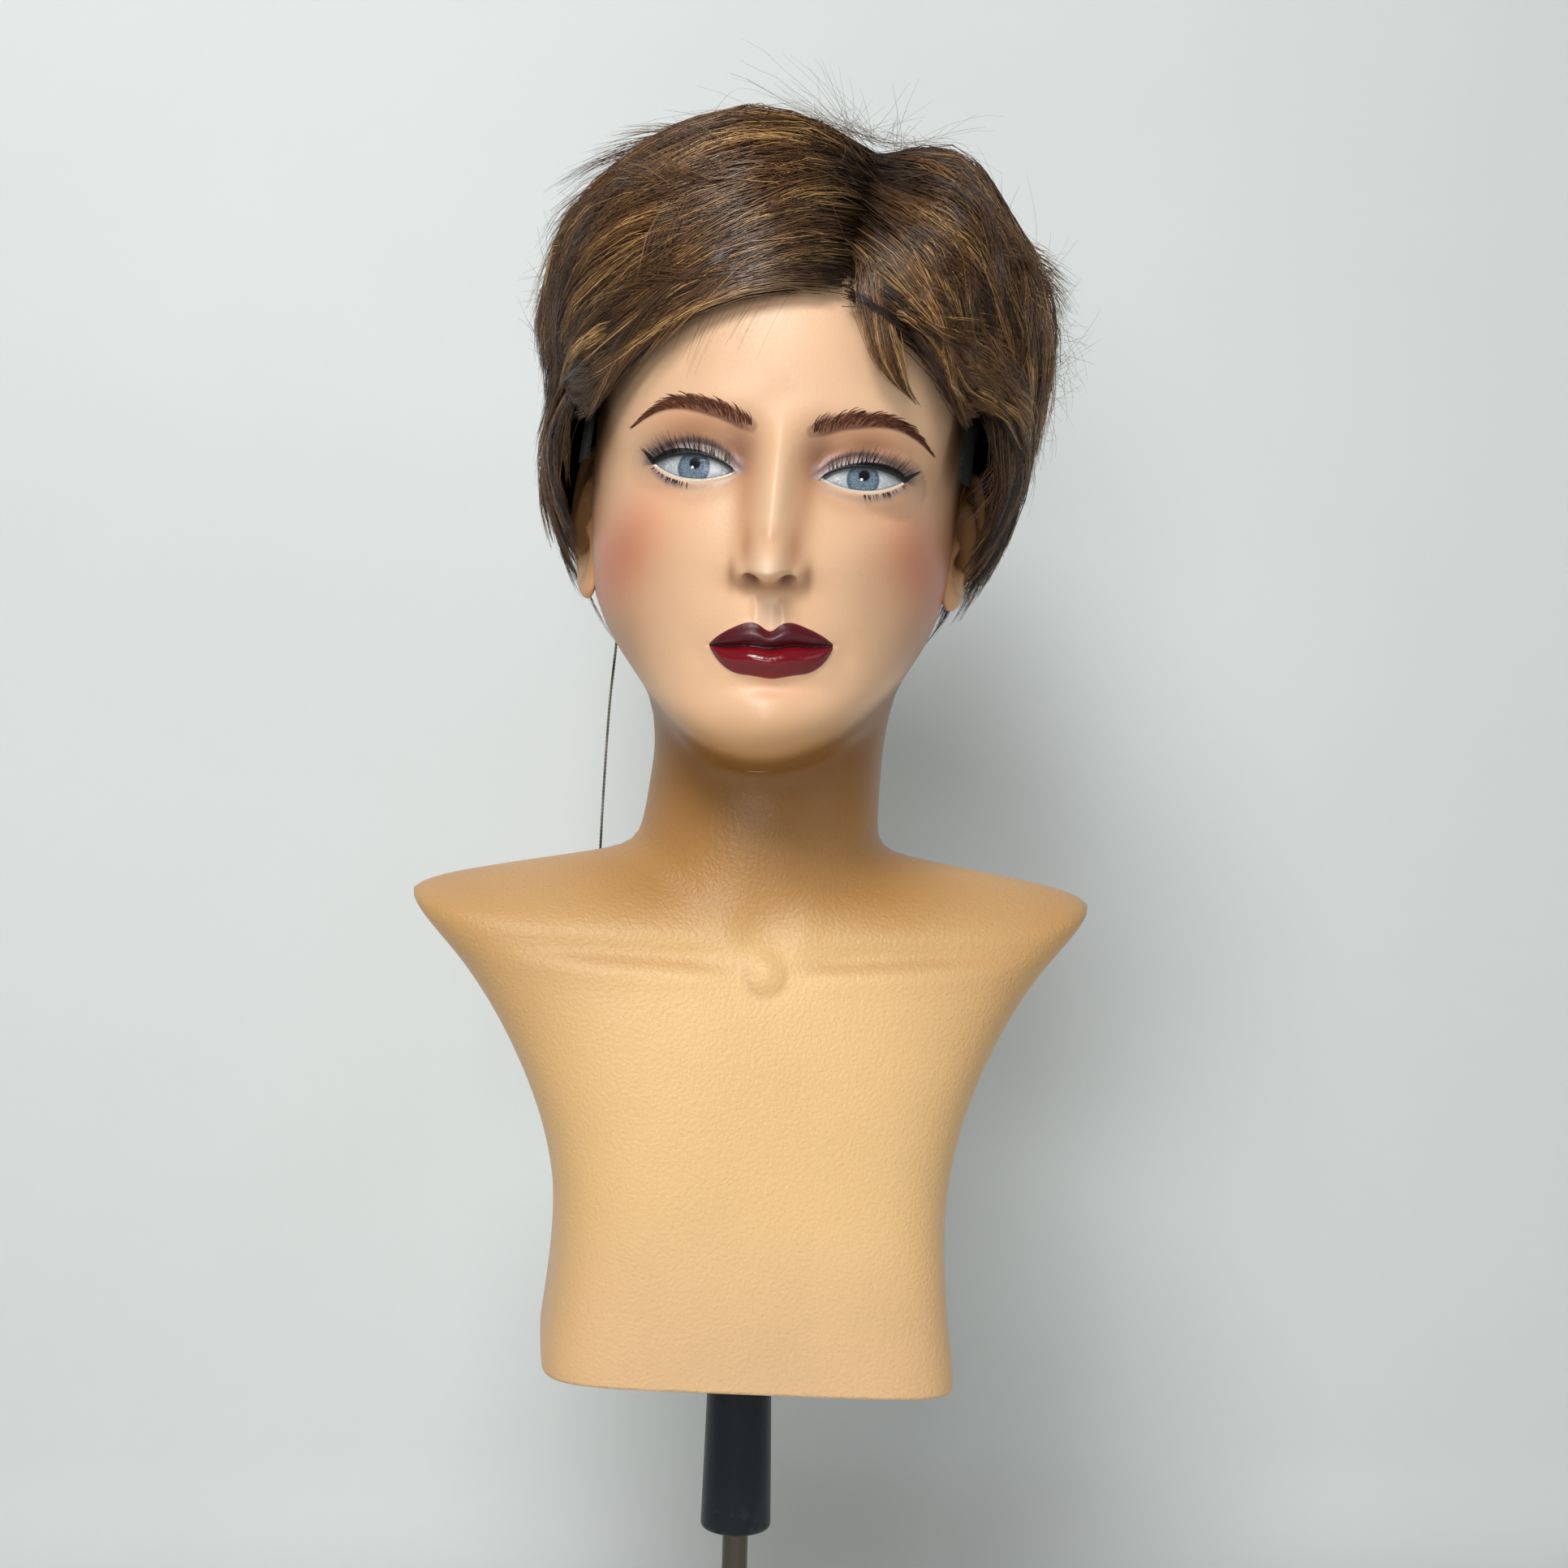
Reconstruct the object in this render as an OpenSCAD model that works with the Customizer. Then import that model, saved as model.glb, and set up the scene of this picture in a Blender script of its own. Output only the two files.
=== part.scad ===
// Display head for wigs: a painted glass-fibre head and bust in two moulded halves, a short wig on its cap,
// and the tapered holder on a steel tube that carries it. Millimetres, +Z up, the face looks along -Y.
// The origin is the centre of the tube's lower end.

/* [Holder] */
// Outer diameter of the steel tube
tube_d = 10; // [8:0.5:14]
// Wall of the tube
tube_wall = 1; // [0.8:0.1:1.5]
// Tube below the holder cone
tube_below = 110; // [60:5:200]
// Tube inside the holder cone
tube_inside = 84; // [60:1:95]
// Diameter of the cone at its lower rim
cone_rim_d = 27.5; // [24:0.5:34]
// Diameter of the cone at its top
cone_top_d = 22.4; // [18:0.4:23]
// Length of the cone
cone_len = 118; // [105:1:130]
// Part of the cone that stays below the bust
cone_below = 69; // [50:1:75]
// Radius of the cone's rounded rims
cone_round = 2; // [0.5:0.5:3]
// Diameter of the screw that keeps the cone on the tube
keeper_d = 4; // [3:0.5:5]
// Diameter of that screw's washer
washer_d = 14; // [11:0.5:16]

/* [Bust] */
// Width of the bust at its base
base_w = 156; // [146:2:166]
// Depth of the base in front of the holder's axis
base_front = 60.5; // [54:0.5:66]
// Depth of the base behind the axis
base_back = 50; // [44:1:56]
// Narrowest width of the bust
waist_w = 148; // [138:2:154]
// Width over the shoulder tips
shoulder_w = 262; // [240:2:280]
// Width of the neck
neck_w = 90; // [84:1:96]
// Height of the chin over the base
chin_h = 234; // [228:1:245]
// Slant of the trimmed base, degrees
base_slant = 2.4; // [0:0.2:3]
// Thickness of the glass-fibre wall
wall = 3; // [2:0.25:4]
// Raised knob between the collar bones
notch_knob = 2.6; // [1:0.2:4]

/* [Head] */
// Width of the skull
skull_w = 144; // [138:1:152]
// Forehead in front of the ears' axis
skull_front = 93.5; // [88:0.5:98]
// Back of the head behind the ears' axis
skull_back = 95; // [88:1:102]
// Height from chin to crown
head_h = 228; // [220:1:236]
// Turn of the head on the neck, degrees
head_turn = 8; // [0:1:14]
// How far the middle of the face lies to the right of the skull's
face_shift = 3.2; // [0:0.2:5]
// Distance between the centres of the eyes
eye_span = 60; // [56:1:64]
// Length of the eye opening
eye_len = 29.6; // [26:0.4:32]
// How far the nose stands out
nose_out = 20; // [16:0.5:23]
// Width of the mouth
mouth_w = 44; // [38:1:50]
// Length of an ear
ear_len = 60; // [52:1:66]
// How far an ear turns out from the head, degrees
ear_flare = 21; // [12:1:23]
// Length of the longest lash
lash_len = 9; // [6:0.5:12]

/* [Base fittings] */
// Thickness of the board that closes the base
board_t = 9; // [6:1:12]
// How far the board is set up into the base
board_inset = 2; // [1:0.5:4]
// Diameter of the socket's flange
flange_d = 66; // [56:1:76]
// Thickness of the flange
flange_t = 3; // [2:0.5:4]
// Wall of the socket tube
socket_wall = 2; // [1.5:0.25:3]
// Gap between the cone and its socket
socket_gap = 0.3; // [0.2:0.05:0.6]
// Thickness of the pad at the top of the socket
pad_t = 4; // [2:0.5:6]
// Side of a corner block
block_w = 18; // [14:1:20]
// Height of a corner block
block_h = 22; // [16:1:30]
// Diameter of the wood screws
wood_screw_d = 3.5; // [3:0.5:4]
// Diameter of the flange screws
flange_screw_d = 4; // [3:0.5:5]
// Circle on which the flange screws stand
flange_circle_d = 50; // [46:1:54]

/* [Wig] */
// Room between the head and the wig's cap
cap_gap = 1.7; // [1.5:0.1:2.2]
// Thickness of the cap
cap_t = 1; // [0.6:0.1:1.5]
// Thickness of the hair over the cap
hair_t = 26; // [18:1:30]
// Thickness of the hair along its lower edge
hair_edge_t = 7; // [4:0.5:10]
// Room between the hair and the ears
ear_room = 14; // [12:0.5:18]
// Depth of the waves between the locks
lock_depth = 1.6; // [0:0.2:3]
// How far back the wig leans as it is lifted, degrees
lift_lean = 12; // [6:1:14]
// Width of the ear tabs
tab_w = 12; // [8:1:14]
// Width of the adjusting straps
strap_w = 8; // [6:1:10]
// Diameter of the tag string
string_d = 1.2; // [0.8:0.1:1.6]

/* [Hidden] */
$fn = 64;

// Colours
SKIN = [0.93, 0.76, 0.57];
STEEL = [0.75, 0.75, 0.73];
SLATE = [0.15, 0.18, 0.21];
HAIR = [0.40, 0.29, 0.19];
LACE = [0.07, 0.06, 0.06];
BOARD = [0.62, 0.47, 0.32];
BRASS = [0.72, 0.58, 0.30];
LASH = [0.05, 0.04, 0.04];

// Heights of the main joints between the pieces
base_z = tube_below + cone_below;
chin_z = base_z + chin_h;
// The ears' axis lies this far in front of the holder's axis
ear_axis_y = -8;

// ---------------------------------------------------------------- curves
function smooth(a, b, v) = let(q = max(0, min(1, (v - a) / (b - a)))) q * q * (3 - 2 * q);
function bell(d, w) = exp(-pow(d / w, 2));
function hump(x, z, cx, cz, rx, rz) = exp(-pow((x - cx) / rx, 2) - pow((z - cz) / rz, 2));
// The larger of two values, rounded over about k
function blend_max(a, b, k) =
  let(h = max(0, min(1, 0.5 + 0.5 * (a - b) / k))) b + (a - b) * h + k * h * (1 - h);
// Uniform cubic B-spline through the rows of a table; t counts rows
function spline(tab, t) =
  let(n = len(tab), c = max(0, min(n - 1 - 1e-9, t)), i = floor(c), f = c - i,
      p0 = i == 0 ? 2 * tab[0] - tab[1] : tab[i - 1], p1 = tab[i],
      p2 = i + 1 < n ? tab[i + 1] : 2 * tab[n - 1] - tab[n - 2],
      p3 = i + 2 < n ? tab[i + 2] : 2 * tab[n - 1] - tab[n - 2])
  ((1 - f) * (1 - f) * (1 - f) * p0 + (3 * f * f * f - 6 * f * f + 4) * p1
   + (-3 * f * f * f + 3 * f * f + 3 * f + 1) * p2 + f * f * f * p3) / 6;

// ---------------------------------------------------------------- bare form
// Each ring: height in front, at the side, behind; half width; depth in front, behind; squareness.
// The bust's heights are over its base.
hb = base_w / 2;
hw = waist_w / 2;
hs = shoulder_w / 2;
hn = neck_w / 2;
function between(a, b, f) = a + (b - a) * f;
BUST = [
  [-1, -1, -1, hb, base_front, base_back, 6],
  [3, 3, 3, hb + 0.5, base_front, base_back, 6],
  [12, 12, 12, hb - 0.5, base_front + 0.5, base_back, 5.4],
  [34, 34, 34, between(hb, hw, 0.75), base_front + 1, base_back, 4.8],
  [62, 62, 62, hw, base_front + 2, base_back + 2, 4.3],
  [87, 88, 88, between(hw, hs, 0.08), base_front + 2, base_back + 5, 3.9],
  [109, 112, 112, between(hw, hs, 0.235), base_front + 0.5, base_back + 8, 3.6],
  [128, 134, 134, between(hw, hs, 0.44), base_front - 2, base_back + 9.5, 3.3],
  [142, 153, 153, between(hw, hs, 0.665), base_front - 4.5, base_back + 9, 3.1],
  [150, 165, 165, between(hw, hs, 0.86), base_front - 6.5, base_back + 7, 3],
  [156, 174, 173, hs - 0.5, base_front - 8, base_back + 5, 2.9],
  [160, 180, 179, hs + 0.5, base_front - 9.5, base_back + 3.5, 2.8],
  [163, 184, 184, hs - 6, base_front - 10.5, base_back + 2, 2.6],
  [166, 187, 188, between(hn, hs, 0.755), base_front - 11.5, base_back + 1, 2.4],
  [168.5, 190.5, 192, between(hn, hs, 0.51), base_front - 12.5, base_back - 0.5, 2.2],
  [171.5, 194, 196, between(hn, hs, 0.27), base_front - 13.5, base_back - 2.5, 2.1],
  [176, 197, 200.5, hn + 7.5, base_front - 14.5, base_back - 4, 2],
  [184, 202, 207, hn + 1.5, base_front - 15.5, base_back - 6, 2],
  [196, 213, 217, hn + 0.5, base_front - 16, base_back - 8, 2],
  [chin_h - 25, chin_h - 8, chin_h - 4, hn, base_front - 16.5, base_back - 10, 2],
  [chin_h - 13, chin_h + 4, chin_h + 10, hn - 0.5, base_front - 16.5, base_back - 11.5, 2]
];
// The head's rings, for a head 228 high, 144 wide and 93.5 + 95 deep; heights are over the chin.
// They are scaled to the sizes asked for.
HEAD_SHAPE = [
  [-5, 18, 28, 46.5, 38, 46, 2],
  [-6, 23, 34, 48, 52, 50, 2],
  [-4, 28, 40, 50, 69, 56, 2],
  [-1, 33.5, 46, 53.5, 80.5, 62, 2],
  [7, 40.5, 53, 58.5, 86.5, 68, 2],
  [19, 49, 61, 63.5, 84.5, 74, 2.05],
  [33, 60, 71, 67.5, 85, 80, 2.1],
  [50, 71, 82, 69, 86, 85, 2.15],
  [70, 84, 93, 70.5, 86.5, 89, 2.2],
  [90, 98, 104, 71, 87.5, 92, 2.3],
  [110, 113, 117, 71.5, 91, 94, 2.3],
  [130, 130, 132, 72, 93.5, 95, 2.25],
  [150, 148, 149, 72.5, 92.5, 94, 2.2],
  [169, 166, 167, 72, 87.5, 91, 2.15],
  [186, 183, 184, 69, 78, 84, 2.1],
  [201, 198, 199, 62.5, 65, 74, 2.05],
  [213, 211, 212, 52, 49, 61, 2],
  [221.5, 220.5, 221, 38, 32, 45, 2],
  [226.5, 226, 226.5, 20, 14, 27, 2]
];
zk = head_h / 228;
wk = skull_w / 144;
fk = skull_front / 93.5;
bk = skull_back / 95;
HEAD = [for (r = HEAD_SHAPE)
  [chin_h + r[0] * zk, chin_h + r[1] * zk, chin_h + r[2] * zk,
   r[3] * wk, r[4] * fk - ear_axis_y, r[5] * bk + ear_axis_y, r[6]]];
CROWN = [chin_h + head_h, chin_h + head_h, chin_h + head_h, 0, 0, 0, 2];
RINGS = concat(BUST, HEAD, [CROWN]);
T_TOP = len(RINGS) - 1;
T_HEAD = len(BUST);

// Point of a ring at azimuth u: 0 is the front, 90 is +X
function ring_point(r, u) =
  let(s = sin(u), c = cos(u), n = r[6], k = pow(pow(abs(s), n) + pow(abs(c), n), -1 / n))
  [r[3] * k * s, (c > 0 ? -r[4] : -r[5]) * k * c, r[1] + (c > 0 ? r[0] - r[1] : r[2] - r[1]) * c * c];

// ---------------------------------------------------------------- face
// Heights over the chin of the features' centres
eye_z = 98.2 * zk;
mouth_z = 36.6 * zk;
nose_z = 66 * zk;
eye_half = eye_len / 2;
// The right eye sits a little lower
eye_tilt = 0.013;
mouth_half = mouth_w / 2;

// Margins of the eye opening over its centre; q runs from -1, inner corner, to +1
function lid_up(q) = 4.8 * pow(max(0, 1 - q * q), 0.72) + 0.9 * q - 0.4;
function lid_low(q) = -4.6 * pow(max(0, 1 - q * q), 0.85) * (1 + 0.1 * q) + 0.9 * q - 0.4;

// Soft forms: brow, sockets, cheek bones, hollow cheeks, muzzle, chin and the fold over it
function soft_forms(a, z) =
  1.8 * hump(a, z, 26, 119, 15, 7.5) - 0.8 * hump(a, z, 0, 121, 8, 9)
  - 6.8 * hump(a, z, eye_span / 2 - 1, eye_z + 1.5, 19, 12.5) - 4.6 * hump(a, z, 15, 103, 7, 10)
  + 3 * hump(a, z, 50, 77, 15, 13) + 2.6 * hump(a, z, 26, 70, 14, 13)
  - 2.6 * hump(a, z, 44, 45, 12, 18) + 4 * hump(a, z, 0, 40, 25, 17)
  - 1.6 * hump(a, z, mouth_half + 3, 34, 5.5, 7)
  + 3 * hump(a, z, 0, 12, 15, 10) - 2.2 * hump(a, z, 0, 23, 14, 3.6);

// Lips: each swells from the mouth line and dies out at its outline
function lip_top(x) =
  let(q = min(1, abs(x) / mouth_half),
      dip = 2.6 * bell(x, 3))
  8.3 * pow(max(0, 1 - pow(q, 2.6)), 0.9) - dip;
function lip_bottom(x) =
  let(q = min(1, abs(x) / mouth_half)) -10.6 * pow(max(0, 1 - pow(q, 2.3)), 0.8);
function lips(x, z) =
  let(q = min(1, abs(x) / mouth_half), dz = z - mouth_z - 0.018 * x,
      s = dz / max(0.4, lip_top(x)), r = -dz / max(0.4, -lip_bottom(x)),
      upper = 3.9 * smooth(-0.12, 0.3, s) * (1 - smooth(0.25, 1.15, s)),
      lower = 4.9 * smooth(-0.06, 0.3, r) * (1 - smooth(0.45, 1.15, r)))
  (dz >= 0 ? upper : lower) * pow(max(0, 1 - q * q), 0.6)
  - 1.1 * bell(dz, 0.9) * (1 - smooth(0.97, 1.08, abs(x) / mouth_half));

// Nose: a ridge that rises to a ball tip, with a wing each side
function nose(a, z) =
  let(dz = z - nose_z,
      ridge = nose_out * (1 - pow(max(0, min(1, dz / 58)), 0.66)) * smooth(-10.5, -0.5, dz),
      narrow = 4.3 + 1.9 * smooth(30, 4, dz), broad = 8.2 + 4.6 * smooth(32, 0, dz),
      body = ridge * (0.55 * exp(-pow(a / narrow, 2.4)) + 0.45 * bell(a, broad)),
      tip = 3.1 * exp(-pow(pow(a / 6.6, 2) + pow((dz - 0.8) / 6.2, 2), 1.5)),
      wing = 0.5 * nose_out * exp(-pow(pow((a - 9.3) / 4.6, 2) + pow((dz + 1.8) / 5.6, 2), 1.35)))
  blend_max(body + tip, wing, 3);

// Depth of the skin round the eyes: the lids follow the eyeball, with a crease over the upper one
function eyes(a, z, depth) =
  let(dx = a - eye_span / 2, dz = z - eye_z, q = dx / eye_half,
      ball = 79.5 - 12 * (1 - sqrt(max(0, 1 - pow(dx / 23, 2) - pow(dz / 15.5, 2)))) - 0.2 * dx,
      near = smooth(25, 17, norm([dx * 0.95, dz * 1.35])),
      lidded = depth + (blend_max(depth, ball + 1.5, 2.4) - depth) * near,
      fold = dz - lid_up(q) - 4 * sqrt(max(0, 1 - pow(q / 1.25, 2))) - 0.4,
      skin = lidded - near * 0.9 * bell(fold, 0.75) * smooth(1.25, 0.9, abs(q)),
      open = abs(q) < 1 ? smooth(-0.15, 0.55, min(lid_up(q) - dz, dz - lid_low(q))) : 0)
  skin + (ball - skin) * open;

// Throat and chest: collar bones, the hollow between them with its knob, the tendons that meet there
function chest(a, z) =
  let(line = 151.5 + 0.055 * a, f = max(0, min(1, (z - 155) / 70)))
  smooth(5, 20, a) * smooth(112, 70, a) * (1.1 * bell(z - line + 3, 6) - 1.9 * bell(z - line - 5.5, 4.2))
  - 3 * hump(a, z, 0, 164, 8, 6) + notch_knob * hump(a, z, 0, 155, 4.2, 7)
  - 1.7 * hump(a, z, 6.8, 153, 2.2, 6)
  + 1.8 * bell(a - 9 - 30 * f, 4) * smooth(150, 162, z) * smooth(205, 172, z)
  - 1.2 * bell(a, 5) * smooth(158, 170, z) * smooth(210, 185, z);

// Turn of the head on the neck, the slow sideways curve from chin to crown, and the lift to the base's height
function posed(p) =
  let(w = smooth(168, 232, p[2]), a = -head_turn * w, y0 = p[1] + 2,
      x1 = p[0] * cos(a) - y0 * sin(a), y1 = p[0] * sin(a) + y0 * cos(a),
      b = (-1.2 + 4.8 * smooth(chin_h - 20, chin_h + 170, p[2])) * smooth(200, 235, p[2]),
      pivot = chin_h + 36, dz = p[2] - pivot)
  [x1 * cos(b) + dz * sin(b) + 2.5 * w, y1 - 2, -x1 * sin(b) + dz * cos(b) + pivot + base_z];

function slanted(p) = p - [0, 0, p[0] * tan(base_slant) * (1 - smooth(0, 120, p[2]))];

// The finished outside, at azimuth u of ring r
function skin_point(r, u) =
  let(p = slanted(ring_point(r, u)), x = p[0] - face_shift, a = abs(x), z = p[2] - chin_h,
      front = smooth(0.1, 0.45, cos(u)), on_head = smooth(-14, -4, z) * front,
      bare = -(p[1] - ear_axis_y),
      face = on_head > 0 ? eyes(a, z + eye_tilt * x, bare + soft_forms(a, z) + lips(x, z)) : bare,
      n = on_head > 0 ? nose(a, z) * on_head : 0,
      body = front > 0 ? chest(abs(p[0]), p[2]) * front * (1 - smooth(200, 225, p[2])) : 0)
  posed([p[0], p[1] - (face - bare) * on_head - n - body, p[2] - 0.24 * n]);

// The inside of the wall: the bare form drawn in by the wall, and set further back behind the face
function inner_ring(r) =
  let(behind_face = 8 * smooth(chin_h + 10, chin_h + 60, r[0]) * smooth(chin_h + 150, chin_h + 120, r[0]),
      down = wall * smooth(chin_h + 190, chin_h + head_h - 6, r[1]))
  [r[0] - down, r[1] - down, r[2] - down, max(0, r[3] - wall),
   max(0, r[4] - wall - 4 - behind_face), max(0, r[5] - wall), r[6]];
function inner_point(r, u) = posed(slanted(ring_point(inner_ring(r), u)));

// ---------------------------------------------------------------- solids from grids of points
// Triangles between two edges given as index lists; the first has m segments for each of the second's.
function tris_between(a, b, m, flip) = [
  for (j = [0:len(b) - 2], k = [0:m]) let(
    t = k < m ? [a[j * m + k], a[j * m + k + 1], k < m / 2 ? b[j] : b[j + 1]]
              : [a[j * m + ceil(m / 2)], b[j + 1], b[j]])
  if (t[0] != t[1] && t[1] != t[2] && t[0] != t[2]) flip ? [t[0], t[2], t[1]] : t];
function vertex(i, j, nr, nc, pole) = pole && i == nr - 1 ? i * nc : i * nc + j % nc;
function grid_tris(nr, nc, closed, pole, start, flip) = [
  for (i = [0:nr - 2], j = [0:closed ? nc - 1 : nc - 2]) let(
    a = start + vertex(i, j, nr, nc, pole), b = start + vertex(i, j + 1, nr, nc, pole),
    c = start + vertex(i + 1, j + 1, nr, nc, pole), d = start + vertex(i + 1, j, nr, nc, pole))
  for (t = [[a, c, b], [a, d, c]])
    if (t[0] != t[1] && t[1] != t[2] && t[0] != t[2]) flip ? [t[0], t[2], t[1]] : t];

// Closed solid between an outer and an inner sheet of rows of points. Rows run upwards, columns to the
// right as seen from outside. The outer sheet has mr rows and mc columns for each one of the inner sheet.
// closed joins the last column to the first; pole says that each top row is a single point.
module between_sheets(outer, inner, closed = false, pole = false, mr = 1, mc = 1) {
  nr = len(outer);
  nc = len(outer[0]);
  kr = len(inner);
  kc = len(inner[0]);
  start = nr * nc;
  function oi(i, j) = vertex(i, j, nr, nc, pole);
  function ii(i, j) = start + vertex(i, j, kr, kc, pole);
  function orow(i) = [for (j = [0:closed ? nc : nc - 1]) oi(i, j)];
  function irow(i) = [for (j = [0:closed ? kc : kc - 1]) ii(i, j)];
  function ocol(j) = [for (i = [0:nr - 1]) oi(i, j)];
  function icol(j) = [for (i = [0:kr - 1]) ii(i, j)];
  polyhedron(
    points = concat([for (row = outer) each row], [for (row = inner) each row]),
    faces = concat(
      grid_tris(nr, nc, closed, pole, 0, false),
      grid_tris(kr, kc, closed, pole, start, true),
      tris_between(orow(0), irow(0), mc, false),
      pole ? [] : tris_between(orow(nr - 1), irow(kr - 1), mc, true),
      closed ? [] : tris_between(ocol(0), icol(0), mr, true),
      closed ? [] : tris_between(ocol(nc - 1), icol(kc - 1), mr, false)),
    convexity = 8);
}
function every(list, m) = [for (i = [0:m:len(list) - 1]) list[i]];

// ---------------------------------------------------------------- the two moulded halves
// Azimuths of the front half: fine over the face. The halves meet at the seam's azimuth.
seam_u = 100;
half_cols = 18;
FRONT_U = [for (i = [-half_cols:half_cols]) let(a = i / half_cols) seam_u * (0.5 * a + 0.5 * a * a * a)];
rear_cols = 16;
REAR_U = [for (i = [0:rear_cols]) seam_u + (360 - 2 * seam_u) * i / rear_cols];
// Ring number at which the form reaches height z over the chin, at azimuth u
function ring_at(u, z) = let(first = T_HEAD + (cos(u) > 0.2 ? 3 : 0))
  lookup(chin_h + z, [for (i = [first:T_TOP]) [ring_point(RINGS[i], u)[2], i]]);
// Rows: one for each ring of the bust, then every 3 mm of the face, then the crown
FACE_TOP = ring_at(0, 126 * zk);
crown_rows = 10;
ROWS = concat([0, 1, 2, 4, 6, 7, 8, 9, 10, 11, 12, 13, 14, 15, 15.6, 16.2, 16.8, 17.4, 18.5, 20],
              [21, 22, 22.6, 23.2],
              [for (z = [3:3:126]) ring_at(0, z * zk)],
              [for (i = [1:crown_rows]) FACE_TOP + (T_TOP - FACE_TOP) * i / crown_rows]);
INNER_ROWS = every(ROWS, 3);
INNER_FRONT_U = every(FRONT_U, 4);
INNER_REAR_U = every(REAR_U, 2);
function skin_sheet(us) = [for (t = ROWS) let(r = spline(RINGS, t)) [for (u = us) skin_point(r, u)]];
function inner_sheet(us) = [for (t = INNER_ROWS) let(r = spline(RINGS, t)) [for (u = us) inner_point(r, u)]];

// Ear: w runs back from its root and h up; its rim is a chain of beads and its bowl a fan of thin plates
ear_root = [skull_w / 2 - 4.5, -6, 88 * zk];
ear_bowl = [5, 0, -2.5];
EAR_RIM = [[1, 14], [7, 24], [15, 29], [23, 26], [28, 17], [28.5, 7], [25.5, -4],
           [20, -13], [14, -20], [9, -26], [4, -26], [1, -17]];
// A point of the ear: w and h as above, o outwards from its plate
function ear_point(side, w, h, o) = let(k = ear_len / 60)
  posed([side * (ear_root[0] + k * w * sin(ear_flare) + o * cos(ear_flare)),
         ear_root[1] + k * (w * cos(ear_flare) + 0.17 * h), chin_h + ear_root[2] + k * 0.985 * h]);
module bead(p, r, sides = 8) {
  translate(p) sphere(r = r, $fn = sides);
}
module ear(side) {
  for (i = [0:len(EAR_RIM) - 2]) {
    a = EAR_RIM[i];
    b = EAR_RIM[i + 1];
    hull() {
      bead(ear_point(side, a[0], a[1], 0.6), 2.1);
      bead(ear_point(side, b[0], b[1], 0.6), 2.1);
    }
    hull() {
      bead(ear_point(side, a[0], a[1], -0.5), 1.1, 6);
      bead(ear_point(side, b[0], b[1], -0.5), 1.1, 6);
      bead(ear_point(side, ear_bowl[0], ear_bowl[1], ear_bowl[2]), 1.4, 6);
    }
  }
}
module front_shell() {
  color(SKIN) union() {
    between_sheets(skin_sheet(FRONT_U), inner_sheet(INNER_FRONT_U), pole = true, mr = 3, mc = 4);
    for (side = [-1, 1]) ear(side);
  }
}
module rear_shell() {
  color(SKIN) between_sheets(skin_sheet(REAR_U), inner_sheet(INNER_REAR_U), pole = true, mr = 3, mc = 2);
}

// Two strips of glass tape laid over the seam inside the wall, each side from base to crown
tape_half = 9;
tape_t = 1.2;
tape_gap = 0.5;
TAPE_ROWS = [for (i = [1:len(INNER_ROWS) - 4]) INNER_ROWS[i]];
function towards_axis(p, d) = let(v = [p[0], p[1], 0]) p - v / max(1, norm(v)) * d;
function along(p, q, d) = p + (q - p) / max(1, norm(q - p)) * d;
function tape_row(r, us, depth) = let(p = [for (u = us) inner_point(r, u)])
  [for (q = [along(p[1], p[0], tape_half), p[1], along(p[1], p[2], tape_half)]) towards_axis(q, depth)];
module seam_tape() {
  right = [INNER_FRONT_U[len(INNER_FRONT_U) - 2], seam_u, INNER_REAR_U[1]];
  left = [INNER_REAR_U[len(INNER_REAR_U) - 2], -seam_u, INNER_FRONT_U[1]];
  color("beige") for (us = [left, right])
    between_sheets([for (t = TAPE_ROWS) tape_row(spline(RINGS, t), us, tape_gap)],
                   [for (t = TAPE_ROWS) tape_row(spline(RINGS, t), us, tape_gap + tape_t)]);
}

// ---------------------------------------------------------------- holder
cone_z = tube_below;
cone_rim_r = cone_rim_d / 2;
cone_top_r = cone_top_d / 2;
tube_r = tube_d / 2;
// The tube is turned down inside the cone, which rests on the shoulder this leaves
journal_r = tube_r - 0.3;
shoulder_gap = 0.2;
// Radial clearance of the cone on the tube, and end play along it
turn_gap = 0.08;
end_gap = 0.3;
keeper_head_h = 2.6;
keeper_head_r = keeper_d * 0.9;
keeper_hold = 12;
washer_t = 1;
// The washer's recess in the top of the cone
recess_r = washer_d / 2 + 0.6;
recess_h = washer_t + keeper_head_h + 1.5;
insert_len = 16;
tube_top = cone_z + tube_inside;
washer_z = cone_z + cone_len - recess_h + end_gap;

module stand_tube() {
  color(STEEL) difference() {
    union() {
      cylinder(h = tube_below - shoulder_gap, r = tube_r);
      cylinder(h = tube_top, r = journal_r);
    }
    translate([0, 0, -1]) cylinder(h = tube_top + 2, r = tube_r - tube_wall);
  }
}
// Threaded plug in the top of the tube
module tube_insert() {
  color(BRASS) translate([0, 0, tube_top - insert_len]) difference() {
    cylinder(h = insert_len, r = tube_r - tube_wall - 0.02);
    translate([0, 0, -1]) cylinder(h = insert_len + 2, r = keeper_d / 2 + 0.03);
  }
}
module keeper_screw() {
  color(STEEL) {
    translate([0, 0, tube_top - keeper_hold])
      cylinder(h = washer_z + washer_t - tube_top + keeper_hold + 0.5, r = keeper_d / 2);
    translate([0, 0, washer_z + washer_t]) difference() {
      cylinder(h = keeper_head_h, r1 = keeper_head_r, r2 = keeper_head_r * 0.8);
      translate([-0.5, -keeper_head_r, keeper_head_h - 1]) cube([1, 2 * keeper_head_r, 2]);
    }
  }
}
module keeper_washer() {
  color(STEEL) translate([0, 0, washer_z]) difference() {
    cylinder(h = washer_t, r = washer_d / 2);
    translate([0, 0, -1]) cylinder(h = washer_t + 2, r = keeper_d / 2 + 0.2);
  }
}
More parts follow.
